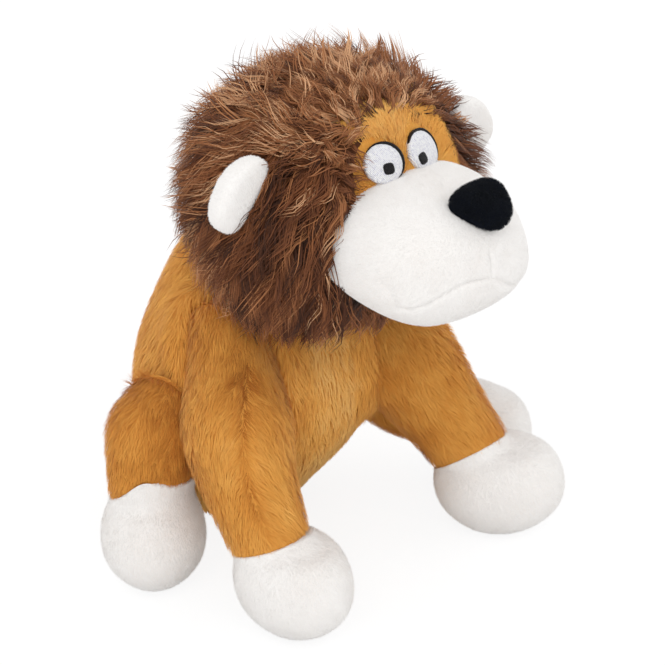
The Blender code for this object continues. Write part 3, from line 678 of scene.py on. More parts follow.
legShape = {
    "sides": 6, "inset": 3.2 * mm, "cuffInset": 2.0 * mm,
    # place along a leg and how full it is there
    "rings": {
        "front": ((-0.44, 0.10), (-0.05, 0.88), (0.26, 1.08), (0.54, 0.68), (0.86, 0.05), (1.18, -0.10)),
        "rear": ((-0.20, -0.10), (0.01, 0.92), (0.26, 1.08), (0.54, 0.68), (0.86, 0.05), (1.18, -0.10)),
    },
    # height, forward shift, half length and half width of a paw's rings
    "pawRings": (
        (0.00, 0.00, 0.36, 0.36), (0.05, 0.01, 0.58, 0.58), (0.30, 0.03, 1.00, 1.02),
        (0.64, 0.00, 1.03, 1.05), (0.90, -0.02, 0.86, 0.86), (1.00, -0.06, 0.62, 0.60),
    ),
    # forward shift and height of the instep, then its half length, width and height
    "instep": {
        "front_right": (9, 38, 24, 22, 20), "front_left": (16, 33, 27, 23, 20),
        "rear_right": (3, 44, 24, 23, 17), "rear_left": (3, 36, 24, 23, 17),
    },
    # the hind right cuff's arch: its height, half width and how far out its middle is
    "arch": 12.5 * mm, "archWide": 13 * mm, "archAside": 2 * mm,
    "drawnIn": 5 * mm, "filled": 5 * mm, "pawWidth": 54 * mm, "pawInset": 0.9 * mm,
    # the seam down a front leg: how far round from straight ahead, its width and its depth
    "seamFrom": 33, "seamWide": 2.2 * mm, "seamDeep": 1.6 * mm, "parting": 11 * mm,
    # folds on the front right paw
    "wrinkles": (((-86, -131, 27), (-70, -139, 23)), ((-80, -137, 20), (-72, -139, 19))),
    "wrinkleWide": 1.8 * mm, "wrinkleDeep": 1.1 * mm,
    # painted shade at the right shoulder, just under the mane
    "whorl": (-60, -72, 130), "maneShadeWide": 10 * mm,
}
frontLeg = {"thigh": 31, "ankle": 21.5, "pawLength": 67, "pawHigh": 52, "pawForward": 12, "cuff": 45.5}
rearLeg = {"thigh": 28, "ankle": 21.5, "pawLength": 62, "pawHigh": 52, "pawForward": 6, "cuff": 53.5}
# each cuff's plane faces its aim
legs = {
    "front_right": {
        **frontLeg, "joint": (-46.30, -48.9, 118), "end": (-67.30, -97.9, 46), "bow": (-10, 0, 0),
        "heading": (0, -1, 0), "aim": (0.01, -0.42, -0.91),
    },
    "front_left": {
        **frontLeg, "pawLength": 70, "pawForward": 14, "joint": (46.30, -48.9, 118),
        "end": (66.30, -107.9, 46), "bow": (2, 0, -4), "heading": (1, -1, 0), "aim": (0.04, -0.59, -0.81),
    },
    "rear_right": {
        **rearLeg, "joint": (-65.42, -18.9, 92), "end": (-82.42, -23.9, 38), "bow": (-8, -2, 8),
        "heading": (-1, -1, 0), "aim": (0.17, -0.27, -0.95),
    },
    "rear_left": {
        **rearLeg, "pawHigh": 47, "cuff": 41.5, "joint": (65.42, -18.9, 92), "end": (107.42, -64.9, 38),
        "bow": (-9, -7, -15), "heading": (1, -1, 0), "aim": (0.80, -0.46, -0.38),
    },
}
legPile = {"Length": 8.5 * mm, "Density": 1.1e6, "Width": 0.42 * mm, "Clump size": 6 * mm}
pawPile = {
    "Length": 2.4 * mm, "Density": 1.6e6, "Width": 0.28 * mm, "Lift": 0.5, "Sag": 0.1, "Lean": 0.5,
    "Sweep": 0.3, "Clump size": 5 * mm, "Clump pull": 0.15, "Stray": 0.8, "Frizz": 0.3, "Soften": 1.0,
}


def legPoint(leg, place):
    joint, end, bow = (Vector(leg[key]) * mm for key in ("joint", "end", "bow"))
    span = end - joint
    bowed = min(max(place, 0), 1)
    return joint + span * place + bow * (4 * bowed * (1 - bowed)), (span + bow * (4 - 8 * bowed)).normalized()


def headingOf(leg):
    return Vector(leg["heading"]).normalized()


def makeLegForm(name, leg):
    rings = []
    for place, fullness in legShape["rings"]["rear" if "rear" in name else "front"]:
        centre, tangent = legPoint(leg, place)
        across = tangent.cross(sideways).normalized()
        along = across.cross(tangent).normalized()
        radius = (leg["ankle"] + (leg["thigh"] - leg["ankle"]) * fullness) * mm
        rings.append(ring(centre, along, across, radius, radius, legShape["sides"]))
    return loft(name + "_form", rings, 4)


def makePawForm(leg):
    heading = headingOf(leg)
    half = leg["pawLength"] * mm / 2
    rings = []
    for height, shift, long, wide in legShape["pawRings"]:
        centre = Vector(leg["end"]) * mm + heading * (leg["pawForward"] * mm + shift * half)
        centre.z = height * leg["pawHigh"] * mm
        halfWide = wide * legShape["pawWidth"] / 2
        rings.append(ring(centre, heading, up.cross(heading), long * half, halfWide, legShape["sides"]))
    return loft("paw", rings, 4)


def cuffPlane(leg):
    low, high = 0.0, 1.0
    while high - low > 0.001:
        middle = (low + high) / 2
        if legPoint(leg, middle)[0].z > leg["cuff"] * mm:
            low = middle
        else:
            high = middle
    return legPoint(leg, low)[0], Vector(leg["aim"]).normalized()


def archRise(name, places):
    # how far the cuff rises above its plane, on the front of the hind right leg only
    if name != "rear_right":
        return np.zeros(len(places))
    spot = np.array(cuffPlane(legs[name])[0])
    heading = np.array(headingOf(legs[name]))
    ahead = (places - spot) @ heading
    aside = (places - spot) @ np.array((heading[1], -heading[0], 0)) - legShape["archAside"]
    return legShape["arch"] * bell(aside, legShape["archWide"]) * smoothStep(ahead, -4 * mm, 12 * mm)


def cutAtCuff(piece, name, point, normal):
    # bent down by the cuff's arch for the cut, and back up after it
    places = placesOf(piece)
    places[:, 2] -= archRise(name, places)
    cutAway(setPlaces(piece, places), point, normal)
    places = placesOf(piece)
    places[:, 2] += archRise(name, places)
    setPlaces(piece, places)


def legComb(leg, places):
    # the pile runs down the leg and parts at the seam on its front
    stations = [legPoint(leg, step / 30) for step in range(31)]
    spots = np.array([tuple(spot) for spot, _ in stations])
    ways = np.array([tuple(way) for _, way in stations])
    nearest = np.argmin(((places[:, None] - spots[None]) ** 2).sum(2), axis=1)
    tangents = ways[nearest]
    outward = places - spots[nearest]
    outward -= tangents * (outward * tangents).sum(1)[:, None]
    turned = math.copysign(math.radians(legShape["seamFrom"]), leg["joint"][0])
    ahead = np.array((math.sin(turned), -math.cos(turned), 0))
    ahead = unit(ahead - tangents * (tangents @ ahead)[:, None])
    beside = np.cross(tangents, ahead)
    angle = np.arctan2((outward * beside).sum(1), (outward * ahead).sum(1))
    offSeam = angle * np.linalg.norm(outward, axis=1)
    along = nearest / 30
    spread = 0.8 * np.sign(offSeam) * bell(offSeam, legShape["parting"]) * legSeam(leg, along)
    return tangents + beside * spread[:, None], along, offSeam


def legSeam(leg, along):
    # front legs only, and fading out at both ends
    if leg["thigh"] != frontLeg["thigh"]:
        return np.zeros(len(along))
    strength = 1.0 if leg["joint"][0] < 0 else 0.6
    return strength * smoothStep(along, 0.02, 0.15) * (1 - smoothStep(along, 0.8, 0.97))


# painted shade under the mane at the right shoulder
def whorl(places):
    gap = np.linalg.norm(places - np.array(legShape["whorl"]) * mm, axis=1)
    return 0.3 * bell(gap, legShape["maneShadeWide"])


def makeSleeve(name, leg, form):
    # its buried root is drawn in under the torso's cover
    sleeve = copyOf(form, "sleeve")
    places = placesOf(sleeve)
    _, along, offSeam = legComb(leg, places)
    seamed = bell(offSeam, legShape["seamWide"]) * legSeam(leg, along)
    inset = legShape["inset"] + (legShape["cuffInset"] - legShape["inset"]) * smoothStep(along, 0.55, 0.95)
    inset += legShape["drawnIn"] * (1 - smoothStep(along, -0.05, 0.4))
    places = places - normalsOf(sleeve) * (inset + seamed * legShape["seamDeep"])[:, None]
    depth = insideOf(places, torsoCoverTree)
    for index in np.nonzero(depth > -1 * mm)[0]:
        onTorso, outward, _, _ = torsoCoverTree.find_nearest(Vector(places[index]))
        buried = min(depth[index], 3 * mm)
        places[index] = tuple(onTorso - outward * max(buried, 1 * mm))
    setPlaces(sleeve, places)
    cutAtCuff(sleeve, name, *cuffPlane(leg))
    sleeve.data.shade_smooth()
    return sleeve


def makeSleevePile(name, leg, sleeve, seed):
    places = placesOf(sleeve)
    comb, along, offSeam = legComb(leg, places)
    # darker on the hind legs; painted shade where the sleeve faces down, in the parting along the seam, and
    # under the mane
    tone = (-0.2 if "rear" in name else -0.05) - 0.14 * smoothStep(-normalsOf(sleeve)[:, 2], 0.2, 0.9)
    tone -= 0.42 * bell(offSeam, legShape["seamWide"] * 0.8) * legSeam(leg, along)
    tone -= whorl(places)
    spot, aim = cuffPlane(leg)
    level = places - np.outer(archRise(name, places), (0, 0, 1))
    toCuff = -((level - np.array(spot)) @ np.array(aim))
    pile = 0.38 + 0.62 * smoothStep(toCuff, 1 * mm, 9 * mm)
    cover = thinned(places, torsoTree, 2 * mm)
    return growPile(sleeve, name + "_pile", 2, "orangeStrands", legPile, seed, comb, pile, cover, tone)


def makePaw(name, leg, form):
    paw = makePawForm(leg)
    if name == "front_right":
        places = placesOf(paw)
        normals = normalsOf(paw)
        for first, second in legShape["wrinkles"]:
            start, span = np.array(first) * mm, (np.array(second) - np.array(first)) * mm
            share = np.clip(((places - start) @ span) / (span @ span), 0, 1)
            gap = np.linalg.norm(places - start - share[:, None] * span, axis=1)
            depth = bell(gap, legShape["wrinkleWide"]) * legShape["wrinkleDeep"]
            places = places - normals * depth[:, None]
        setPlaces(paw, places)
    spot, aim = cuffPlane(leg)
    lower = cutAway(copyOf(form, "lower"), spot - aim * 20 * mm, -aim)
    combined(paw, "UNION", lower)
    forward, height, *halves = legShape["instep"][name]
    heading = headingOf(leg)
    instep = roundForm("instep", Vector((0, 0, 0)), [half * mm for half in halves], 15)
    middle = Vector(leg["end"]) * mm + heading * forward * mm
    middle.z = height * mm
    facing = Matrix.Rotation(math.atan2(heading.y, heading.x), 4, "Z")
    instep.data.transform(Matrix.Translation(middle) @ facing)
    combined(paw, "UNION", instep)
    discard(lower, instep)
    remeshed(paw, 1.5 * mm, 8)
    shrunk(paw, legShape["pawInset"])
    cutAtCuff(paw, name, spot + aim * 0.1 * mm, -aim)
    places = placesOf(paw)
    places[:, 2] = np.maximum(places[:, 2], 0.4 * mm)
    setPlaces(paw, places)
    paw.data.shade_smooth()
    return paw


def makeLeg(name, leg, seed):
    body = name + "_leg"
    form = legForms[name]
    sleeve = makeSleeve(name, leg, form)
    coat = makeSleevePile(name, leg, sleeve, seed)
    paw = makePaw(name, leg, form)
    comb = np.array(headingOf(leg)) * 0.4 + np.array((0, 0, -1.0))
    fuzz = growPile(paw, name + "_paw_fuzz", 1, "whiteStrands", pawPile, seed + 10, comb)
    keep(sleeve, name + "_sleeve", "orangeCloth", None, (name + "_leg_skin", name + "_leg_filling"))
    keep(coat, name + "_pile", "orangeStrands")
    keep(paw, name + "_boot", "whiteVelour", body, (name + "_paw",))
    keep(fuzz, name + "_boot_fuzz", "whiteStrands", body)
    start, end = legPoint(leg, 0.12)[0], legPoint(leg, 0.55)[0]
    for piece in (sleeve, coat):
        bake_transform(piece, "torso", body, start=tuple(start), end=tuple(end))


legForms = {name: makeLegForm(name, leg) for name, leg in legs.items()}
legTrees = {name: treeOf(form) for name, form in legForms.items()}
for order, (name, leg) in enumerate(legs.items()):
    makeLeg(name, leg, 20 + order)
print("legs made")


def makeTorso():
    # it swells a little towards each leg, so that the two meet in a soft fold
    places = placesOf(torsoCover)
    swell = np.zeros(len(places))
    for name, tree in legTrees.items():
        depth = insideOf(places, tree)
        filled = legShape["filled"] * (0.6 if "rear" in name else 1.0)
        swell = np.maximum(swell, filled * np.clip(1 + depth / (15 * mm), 0, 1) ** 2 * (depth < 6 * mm))
    setPlaces(torsoCover, places + normalsOf(torsoCover) * swell[:, None])
    places = placesOf(torsoCover)
    cover = np.ones(len(places))
    beside = np.zeros(len(places))
    for tree in legTrees.values():
        cover = np.minimum(cover, 0.35 + 0.65 * thinned(places, tree, 3 * mm))
        beside = np.maximum(beside, 1 - smoothStep(np.abs(insideOf(places, tree)), 4 * mm, 16 * mm))
    cover *= smoothStep(places[:, 2], 2 * mm, 6 * mm)
    # painted light lifting the chest; painted shade beside each leg and under the mane
    chestPaintedLight = smoothStep(-normalsOf(torsoCover)[:, 1], -0.1, 0.8)
    tone = 0.05 + 0.2 * chestPaintedLight * (1 - beside) - 0.08 * beside - whorl(places)
    ways = ((0, 0.1, -1.0), 1 + 0.3 * beside, cover, tone)
    coat = growPile(torsoCover, "torso_pile", 2, "orangeStrands", torsoPile, 3, *ways)
    nodes = ("torso_skin", "torso_filling", "neck_filling")
    keep(torsoCover, "torso_cover", "orangeCloth", "torso", nodes)
    keep(coat, "torso_pile", "orangeStrands", "torso")


makeTorso()
print("torso made")


# head

headShape = {
    "centre": Vector((0, -70.9, 206)) * mm, "halves": (58 * mm, 58 * mm, 60 * mm), "inset": 3.0 * mm,
    "faceWide": {-1: 70 * mm, 1: 92 * mm}, "faceHigh": 74 * mm, "faceZ": 221 * mm, "faceFull": 2.7,
    # a brow that stands proud above the eyes, and a left cheek that fills out beside its eye
    "brow": 3.0 * mm, "browZ": 252 * mm, "browHigh": 9 * mm, "browWide": 34 * mm,
    "cheek": 4.5 * mm, "cheekFrom": 22 * mm, "cheekTo": 38 * mm,
    # what the pile runs away from, and where it is short under the eyes' stitching
    "away": (0, -122, 236), "bareX": 13 * mm, "bareZ": 239 * mm, "bareWide": 11.5 * mm, "bareHigh": 11 * mm,
    "pile": {
        "Length": 5.5 * mm, "Density": 4.0e6, "Width": 0.36 * mm, "Lift": 0.5, "Sag": 0.1, "Lean": 0.5,
        "Sweep": 0.4, "Clump size": 4 * mm, "Clump pull": 0.2, "Swirl": 0.3, "Soften": 0.9,
    },
}
muzzleShape = {
    "centre": Vector((0, -133.9, 199)) * mm, "halves": (50.5 * mm, 43 * mm, 34 * mm), "fullness": 2.4,
    # how high the mouth's seam runs across the front
    "mouthX": (
        -52, -48.5, -46.7, -43.6, -40, -35.8, -27.8, -22, -16.6, -10, -3.4, 2, 7.4, 15.5, 24, 34, 43, 46, 50,
    ),
    "mouthZ": (
        202, 201, 197, 187.5, 187, 189.5, 194.5, 196.8, 197.6, 197, 195.5, 193.4, 190.4, 184.5, 181.5, 181,
        184, 190, 196,
    ),
    "groove": 1.1 * mm, "grooveWide": 1.3 * mm, "jawZ": 191 * mm, "jawWay": (0.7071, -0.7071, 0),
}


def faceShare(places):
    # below 1 inside the face's oval, on the front of the head
    wide = np.where(places[:, 0] < 0, headShape["faceWide"][-1], headShape["faceWide"][1])
    across = places[:, 0] / (wide / 2)
    high = (places[:, 2] - headShape["faceZ"]) / (headShape["faceHigh"] / 2)
    full = headShape["faceFull"]
    share = (np.abs(across) ** full + np.abs(high) ** full) ** (1 / full)
    return np.where(places[:, 1] < headShape["centre"].y, share, 3.0)


def muzzleShare(places):
    # below 1 inside the muzzle
    gap = (places - np.array(muzzleShape["centre"])) / np.array(muzzleShape["halves"])
    return (np.abs(gap) ** muzzleShape["fullness"]).sum(1)


def makeFace():
    head = roundForm("face_cover", headShape["centre"], headShape["halves"], 47)
    places = placesOf(head)
    share = faceShare(places)
    brow = bell(places[:, 2] - headShape["browZ"], headShape["browHigh"])
    brow *= bell(places[:, 0], headShape["browWide"])
    cheek = smoothStep(places[:, 0], headShape["cheekFrom"], headShape["cheekTo"])
    proud = brow * headShape["brow"] + cheek * headShape["cheek"] - headShape["inset"]
    setPlaces(head, places + normalsOf(head) * proud[:, None])
    places = placesOf(head)
    comb = unit(places - np.array(headShape["away"]) * mm) + np.array((0, 0, 0.5))
    cover = 1 - smoothStep(share, 1.02, 1.1)
    for side in (-1, 1):
        across = (places[:, 0] - side * headShape["bareX"]) / headShape["bareWide"]
        high = (places[:, 2] - headShape["bareZ"]) / headShape["bareHigh"]
        cover *= smoothStep(np.hypot(across, high), 0.85, 1.0)
    pile = 0.8 + np.maximum(0.4 * brow, 0.7 * cheek)
    coat = growPile(head, "face_pile", 3, "orangeStrands", headShape["pile"], 41, comb, pile, cover, 0.06)
    keep(head, "face_cover", "orangeCloth", "head", ("face_skin", "head_filling"))
    keep(coat, "face_pile", "orangeStrands", "head")
    return head


face = makeFace()
print("face made")


# mane

maneShape = {
    "centre": Vector((0, -68.9, 206)) * mm, "halves": (75 * mm, 72 * mm, 70 * mm), "inset": 11 * mm,
    "sunk": 14 * mm, "partedAt": (0, -150, 232), "turnedTo": (10, -125, 205),
}
locks = {
    "Roll": 0.25, "Rounding": 1.2, "Edge shade": 0.4, "Together": 1.0, "Soften": 0.7, "Patch size": 35 * mm,
}
# steps along a strand, its recipe, its seed and how much lighter it is; the undercoat is darker, as painted
# shade under the locks
coats = {
    "mane_under": (3, {
        **locks, "Length": 20 * mm, "Density": 0.4e6, "Width": 1.2 * mm, "Sag": 0.18, "Sweep": 0.4,
        "Clump size": 9 * mm, "Clump pull": 0.6, "Stray": 0.9, "Swirl": 1.6, "Clump shade": 0.5, "Wave": 0.1,
    }, 51, -0.2),
    "mane_locks": (5, {
        **locks, "Length": 43 * mm, "Density": 0.45e6, "Width": 0.8 * mm, "Lift": 0.46, "Sag": 0.18,
        "Lean": 0.55, "Sweep": 0.4, "Clump size": 9 * mm, "Clump pull": 0.9, "Stray": 1.0, "Swirl": 1.6,
        "Swirl size": 55 * mm, "Wave": 0.2, "Waves": 0.9, "Frizz": 0.06, "Strand shade": 0.16,
        "Clump shade": 1.1, "Patch shade": 0.9,
    }, 52, -0.02),
    "mane_tresses": (5, {
        **locks, "Length": 42 * mm, "Density": 0.24e6, "Width": 0.6 * mm, "Lift": 0.6, "Sag": 0.2,
        "Lean": 0.5, "Sweep": 0.38, "Clump size": 5.5 * mm, "Clump pull": 0.95, "Stray": 2.0, "Swirl": 2.0,
        "Swirl size": 40 * mm, "Wave": 0.16, "Waves": 1.0, "Frizz": 0.06, "Strand shade": 0.16,
        "Clump shade": 1.1, "Soften": 0.15,
    }, 54, 0.1),
    "mane_spikes": (5, {
        **locks, "Length": 37 * mm, "Density": 0.32e6, "Width": 0.75 * mm, "Lift": 0.85, "Sag": 0.12,
        "Lean": 0.3, "Sweep": 0.35, "Clump size": 11 * mm, "Clump pull": 0.93, "Stray": 1.2, "Swirl": 0.8,
        "Swirl size": 40 * mm, "Wave": 0.1, "Frizz": 0.06, "Clump shade": 0.9, "Soften": 0.0,
    }, 53, 0.04),
    "mane_fringe": (5, {
        **locks, "Length": 24 * mm, "Density": 0.9e6, "Width": 0.6 * mm, "Lift": 0.62, "Sag": 0.3,
        "Lean": 0.4, "Sweep": 0.4, "Clump size": 5 * mm, "Clump pull": 0.85, "Stray": 1.4, "Swirl": 0.8,
        "Swirl size": 30 * mm, "Wave": 0.14, "Waves": 0.9, "Vary": 0.4, "Frizz": 0.08, "Strand shade": 0.2,
        "Clump shade": 1.0, "Soften": 0.15,
    }, 55, 0.04),
}


def maneComb(places):
    # locks fall away from the face and down, and straight down between an ear and its eye
    comb = unit(places - np.array(maneShape["partedAt"]) * mm) * 0.85 + np.array((0, 0.15, 0))
    comb[:, 2] -= 0.4 + 1.5 * smoothStep(-places[:, 2], -258 * mm, -236 * mm)
    falling = smoothStep(np.abs(places[:, 0]), 20 * mm, 40 * mm)
    falling *= 1 - smoothStep(places[:, 1], -95 * mm, -65 * mm)
    falling *= 1 - smoothStep(places[:, 2], 236 * mm, 256 * mm)
    comb[:, 2] -= 1.6 * falling
    return comb


def manePile(places, share):
    # shorter at the face, on top, at the chin and behind on the right, longer on the left
    pile = 1.0 - 0.4 * (1 - smoothStep(share, 1.0, 1.5))
    pile *= 1 - 0.3 * smoothStep(places[:, 2], 238 * mm, 262 * mm)
    pile *= 1 - 0.45 * smoothStep(-places[:, 2], -182 * mm, -155 * mm)
    pile *= 1 + 0.25 * smoothStep(places[:, 0], 30 * mm, 60 * mm)
    rearRight = (places - np.array(maneShape["centre"])) @ np.array((-0.707, 0.707, 0))
    return pile * (1 - 0.25 * smoothStep(rearRight, 35 * mm, 60 * mm))


def fringeWays(places, share, comb):
    # hair at the face's edge: over it on the right, back from it elsewhere, and less beside the eye
    height = places[:, 2]
    cover = smoothStep(share, 0.86, 0.94) * (1 - smoothStep(share, 1.2, 1.45))
    cover *= smoothStep(muzzleShare(places), 0.7, 0.85)
    onRight = (1 - smoothStep(places[:, 0], -22 * mm, -8 * mm)) * (1 - smoothStep(height, 244 * mm, 256 * mm))
    inward = unit(np.array(maneShape["turnedTo"]) * mm - places)
    byEye = onRight * bell(height - 229 * mm, 9 * mm)
    cover *= 1 - 0.75 * byEye
    turned = comb * (1 - onRight[:, None]) + inward * onRight[:, None] * 1.1
    return turned, 0.8 - 0.15 * onRight - 0.25 * byEye, cover


def makeMane():
    base = roundForm("mane_base", maneShape["centre"], maneShape["halves"], 55)
    places = placesOf(base)
    sink = 1 - smoothStep(faceShare(places), 0.96, 1.06)
    inset = maneShape["inset"] + sink * maneShape["sunk"]
    places = places - normalsOf(base) * inset[:, None]
    setPlaces(base, places)
    share = faceShare(places)
    height = places[:, 2]
    comb = maneComb(places)
    pile = manePile(places, share)
    # bare where the muzzle and the torso are
    cover = smoothStep(share, 0.98, 1.04) * smoothStep(muzzleShare(places), 0.8, 0.95)
    cover *= thinned(places, torsoTree, -1 * mm)
    # lighter towards the crown: partly its paler hair, partly painted light from above, with painted shade
    # down the sides
    tone = -0.2 + 0.27 * smoothStep(height, 226 * mm, 262 * mm)
    # spikes that stand out most over the left ear
    spiky = 0.12 + 0.88 * smoothStep(places[:, 0], 18 * mm, 42 * mm)
    spikes = cover * spiky * smoothStep(height, 185 * mm, 205 * mm)
    special = {
        "mane_fringe": fringeWays(places, share, comb),
        "mane_spikes": (comb + np.array((0.2, 0, 1.3)), pile, spikes),
    }
    keep(base, "mane_base", "maneCloth", "head", ("mane",))
    for name, (steps, recipe, seed, lighter) in coats.items():
        ways = special.get(name, (comb, pile, cover))
        coat = growPile(base, name, steps, "maneStrands", recipe, seed, *ways, tone + lighter)
        keep(coat, name, "maneStrands", "head")


makeMane()
print("mane made")


# muzzle

whitePile = {
    "Length": 1.7 * mm, "Density": 2.0e6, "Width": 0.26 * mm, "Lift": 0.45, "Sag": 0.1, "Lean": 0.55,
    "Sweep": 0.3, "Clump size": 4 * mm, "Clump pull": 0.1, "Frizz": 0.25, "Soften": 1.0,
}


def mouthHeight(x):
    return np.interp(x, np.array(muzzleShape["mouthX"]) * mm, np.array(muzzleShape["mouthZ"]) * mm)


def mouthCutter():
    # everything below the mouth's seam
    shape = bmesh.new()
    xs = np.linspace(-60, 60, 81) * mm
    profile = [(x, mouthHeight(x)) for x in xs] + [(60 * mm, 150 * mm), (-60 * mm, 150 * mm)]
    near = [shape.verts.new((x, -200 * mm, z)) for x, z in profile]
    far = [shape.verts.new((x, -60 * mm, z)) for x, z in profile]
    bridge(shape, near, far)
    shape.faces.new(near[::-1])
    shape.faces.new(far)
    return fromBmesh("mouthCutter", shape)


def grooved(piece):
    # the seams draw the cloth in
    places = placesOf(piece)
    centre = np.array(muzzleShape["centre"])
    outward = (places - centre) / np.array(muzzleShape["halves"]) ** 2
    outward /= np.linalg.norm(outward, axis=1)[:, None] + 1e-9
    front = smoothStep(-(places[:, 1] - centre[1]), 0, 12 * mm)
    slope = (mouthHeight(places[:, 0] + mm) - mouthHeight(places[:, 0] - mm)) / (2 * mm)
    mouthGap = (places[:, 2] - mouthHeight(places[:, 0])) / np.sqrt(1 + slope**2)
    mouth = bell(mouthGap, muzzleShape["grooveWide"])
    mouth *= 1 - smoothStep(np.abs(places[:, 0]), 46 * mm, 50 * mm)
    seam = bell(places[:, 0], muzzleShape["grooveWide"]) * smoothStep(mouthGap, -1 * mm, 0.5 * mm)
    seam *= 1 - smoothStep(places[:, 2], 206 * mm, 212 * mm)
    depth = np.maximum(mouth, seam * 0.7) * front * muzzleShape["groove"]
    return setPlaces(piece, places - outward * depth[:, None])


def makeMuzzle():
    form = roundForm("muzzleForm", muzzleShape["centre"], muzzleShape["halves"], 71, muzzleShape["fullness"])
    shrunk(form, 0.3 * mm)
    # stuffed unevenly: slim beside the nose, full at the left jaw, tucked in at the right one
    places = placesOf(form)
    aside = (places - np.array(muzzleShape["centre"])) @ np.array(muzzleShape["jawWay"]) / (45 * mm)
    rise = places[:, 2] - muzzleShape["jawZ"]
    tuck = np.clip(-0.25 * rise, 0, 5 * mm) * np.maximum(-aside, 0)
    shift = tuck - np.clip(0.26 * rise, -2.4 * mm, 8 * mm) * np.maximum(aside, 0)
    setPlaces(form, places + np.outer(shift, muzzleShape["jawWay"]) + np.outer(tuck, (0, 0, 1)))
    cutter = mouthCutter()
    chin = combined(copyOf(form, "chin"), "INTERSECT", cutter)
    cheeks = combined(copyOf(form, "cheeks"), "DIFFERENCE", cutter)
    right = cutAway(copyOf(cheeks, "right"), Vector((-0.05 * mm, 0, 0)), sideways)
    left = cutAway(copyOf(cheeks, "left"), Vector((0.05 * mm, 0, 0)), -sideways)
    discard(form, cutter, cheeks)
    headTree = treeOf(face)
    for piece, name, node, seed in (
        (right, "muzzle_right", "muzzle_right_panel", 61),
        (left, "muzzle_left", "muzzle_left_panel", 62),
        (chin, "chin", "chin_panel", 63),
    ):
        grooved(piece)
        piece.data.shade_smooth()
        piece.data.set_sharp_from_angle(angle=math.radians(60))
        places = placesOf(piece)
        cover = smoothStep(muzzleShare(places), 0.6, 0.66) * thinned(places, headTree, 2 * mm)
        fuzz = growPile(piece, name + "_fuzz", 1, "whiteStrands", whitePile, seed, (0, 1, -0.7), cover=cover)
        keep(piece, name, "whiteVelour", "head", (node,))
        keep(fuzz, name + "_fuzz", "whiteStrands", "head")


makeMuzzle()
print("muzzle made")


# nose

noseShape = {
    "width": 28.5 * mm, "height": 26.5 * mm, "thick": 13.5 * mm, "root": 6 * mm, "tilt": 57, "corner": 0.13,
    # its tip leans to the left by the skew
    "sides": 18, "aside": 3.2 * mm, "skew": 0.25, "inset": 0.8 * mm,
    "rings": ((0.0, 0.86), (0.3, 0.98), (0.55, 1.0), (0.85, 0.86), (1.0, 0.5)),
    "pile": {
        "Length": 1.8 * mm, "Density": 4.0e6, "Width": 0.26 * mm, "Lift": 0.7, "Sag": 0.1, "Lean": 0.3,
        "Sweep": 0.2, "Clump size": 3 * mm, "Clump pull": 0.2, "Stray": 0.8, "Frizz": 0.4,
    },
}


def makeNose():
    tilt = math.radians(noseShape["tilt"])
    out = Vector((0, -math.cos(tilt), math.sin(tilt)))
    down = Vector((0, -math.sin(tilt), -math.cos(tilt)))
    halves, full = muzzleShape["halves"], muzzleShape["fullness"]
    parts = [abs(half * part) ** (1 / (full - 1)) for half, part in zip(halves, out)]
    reach = sum(part**full for part in parts) ** (1 / full)
    onMuzzle = [math.copysign(half * part / reach, o) for half, part, o in zip(halves, parts, out)]
    seat = muzzleShape["centre"] + Vector(onMuzzle)
    seat.x += noseShape["aside"]
    rings = []
    for height, fullness in noseShape["rings"]:
        centre = seat + out * (height * (noseShape["root"] + noseShape["thick"]) - noseShape["root"])
        half = (fullness * noseShape["height"] / 2, fullness * noseShape["width"] / 2)
        rings.append(ring(centre, down, sideways, *half, noseShape["sides"], noseShape["corner"]))
    nose = shrunk(loft("nose_pad", rings, 4), noseShape["inset"])
    places = placesOf(nose)
    places[:, 0] += noseShape["skew"] * ((places - np.array(seat)) @ np.array(down))
    setPlaces(nose, places)
    comb = unit(places - np.array(seat + out * 30 * mm))
    fuzz = growPile(nose, "nose_fuzz", 1, "blackStrands", noseShape["pile"], 71, comb)
    keep(nose, "nose_pad", "blackVelour", "head", ("nose",))
    keep(fuzz, "nose_fuzz", "blackStrands", "head")


makeNose()
print("nose made")


# eyes

eyeShape = {
    "wide": {-1: 20 * mm, 1: 22 * mm}, "high": 19 * mm, "beside": {-1: 13 * mm, 1: 14 * mm},
    "rise": {-1: 33 * mm, 1: 31.8 * mm}, "rim": 1.5 * mm, "rimFrom": 30, "rimPoints": 240,
    "dome": 1.3 * mm, "edge": 0.9 * mm, "pupilWide": 5.8 * mm, "pupilHigh": 5.4 * mm, "squareness": 3.2,
    # how far each pupil lies below the middle of its white and towards the nose
    "drop": {-1: 3.0 * mm, 1: 2.8 * mm}, "shift": {-1: 1.2 * mm, 1: 5.4 * mm},
}


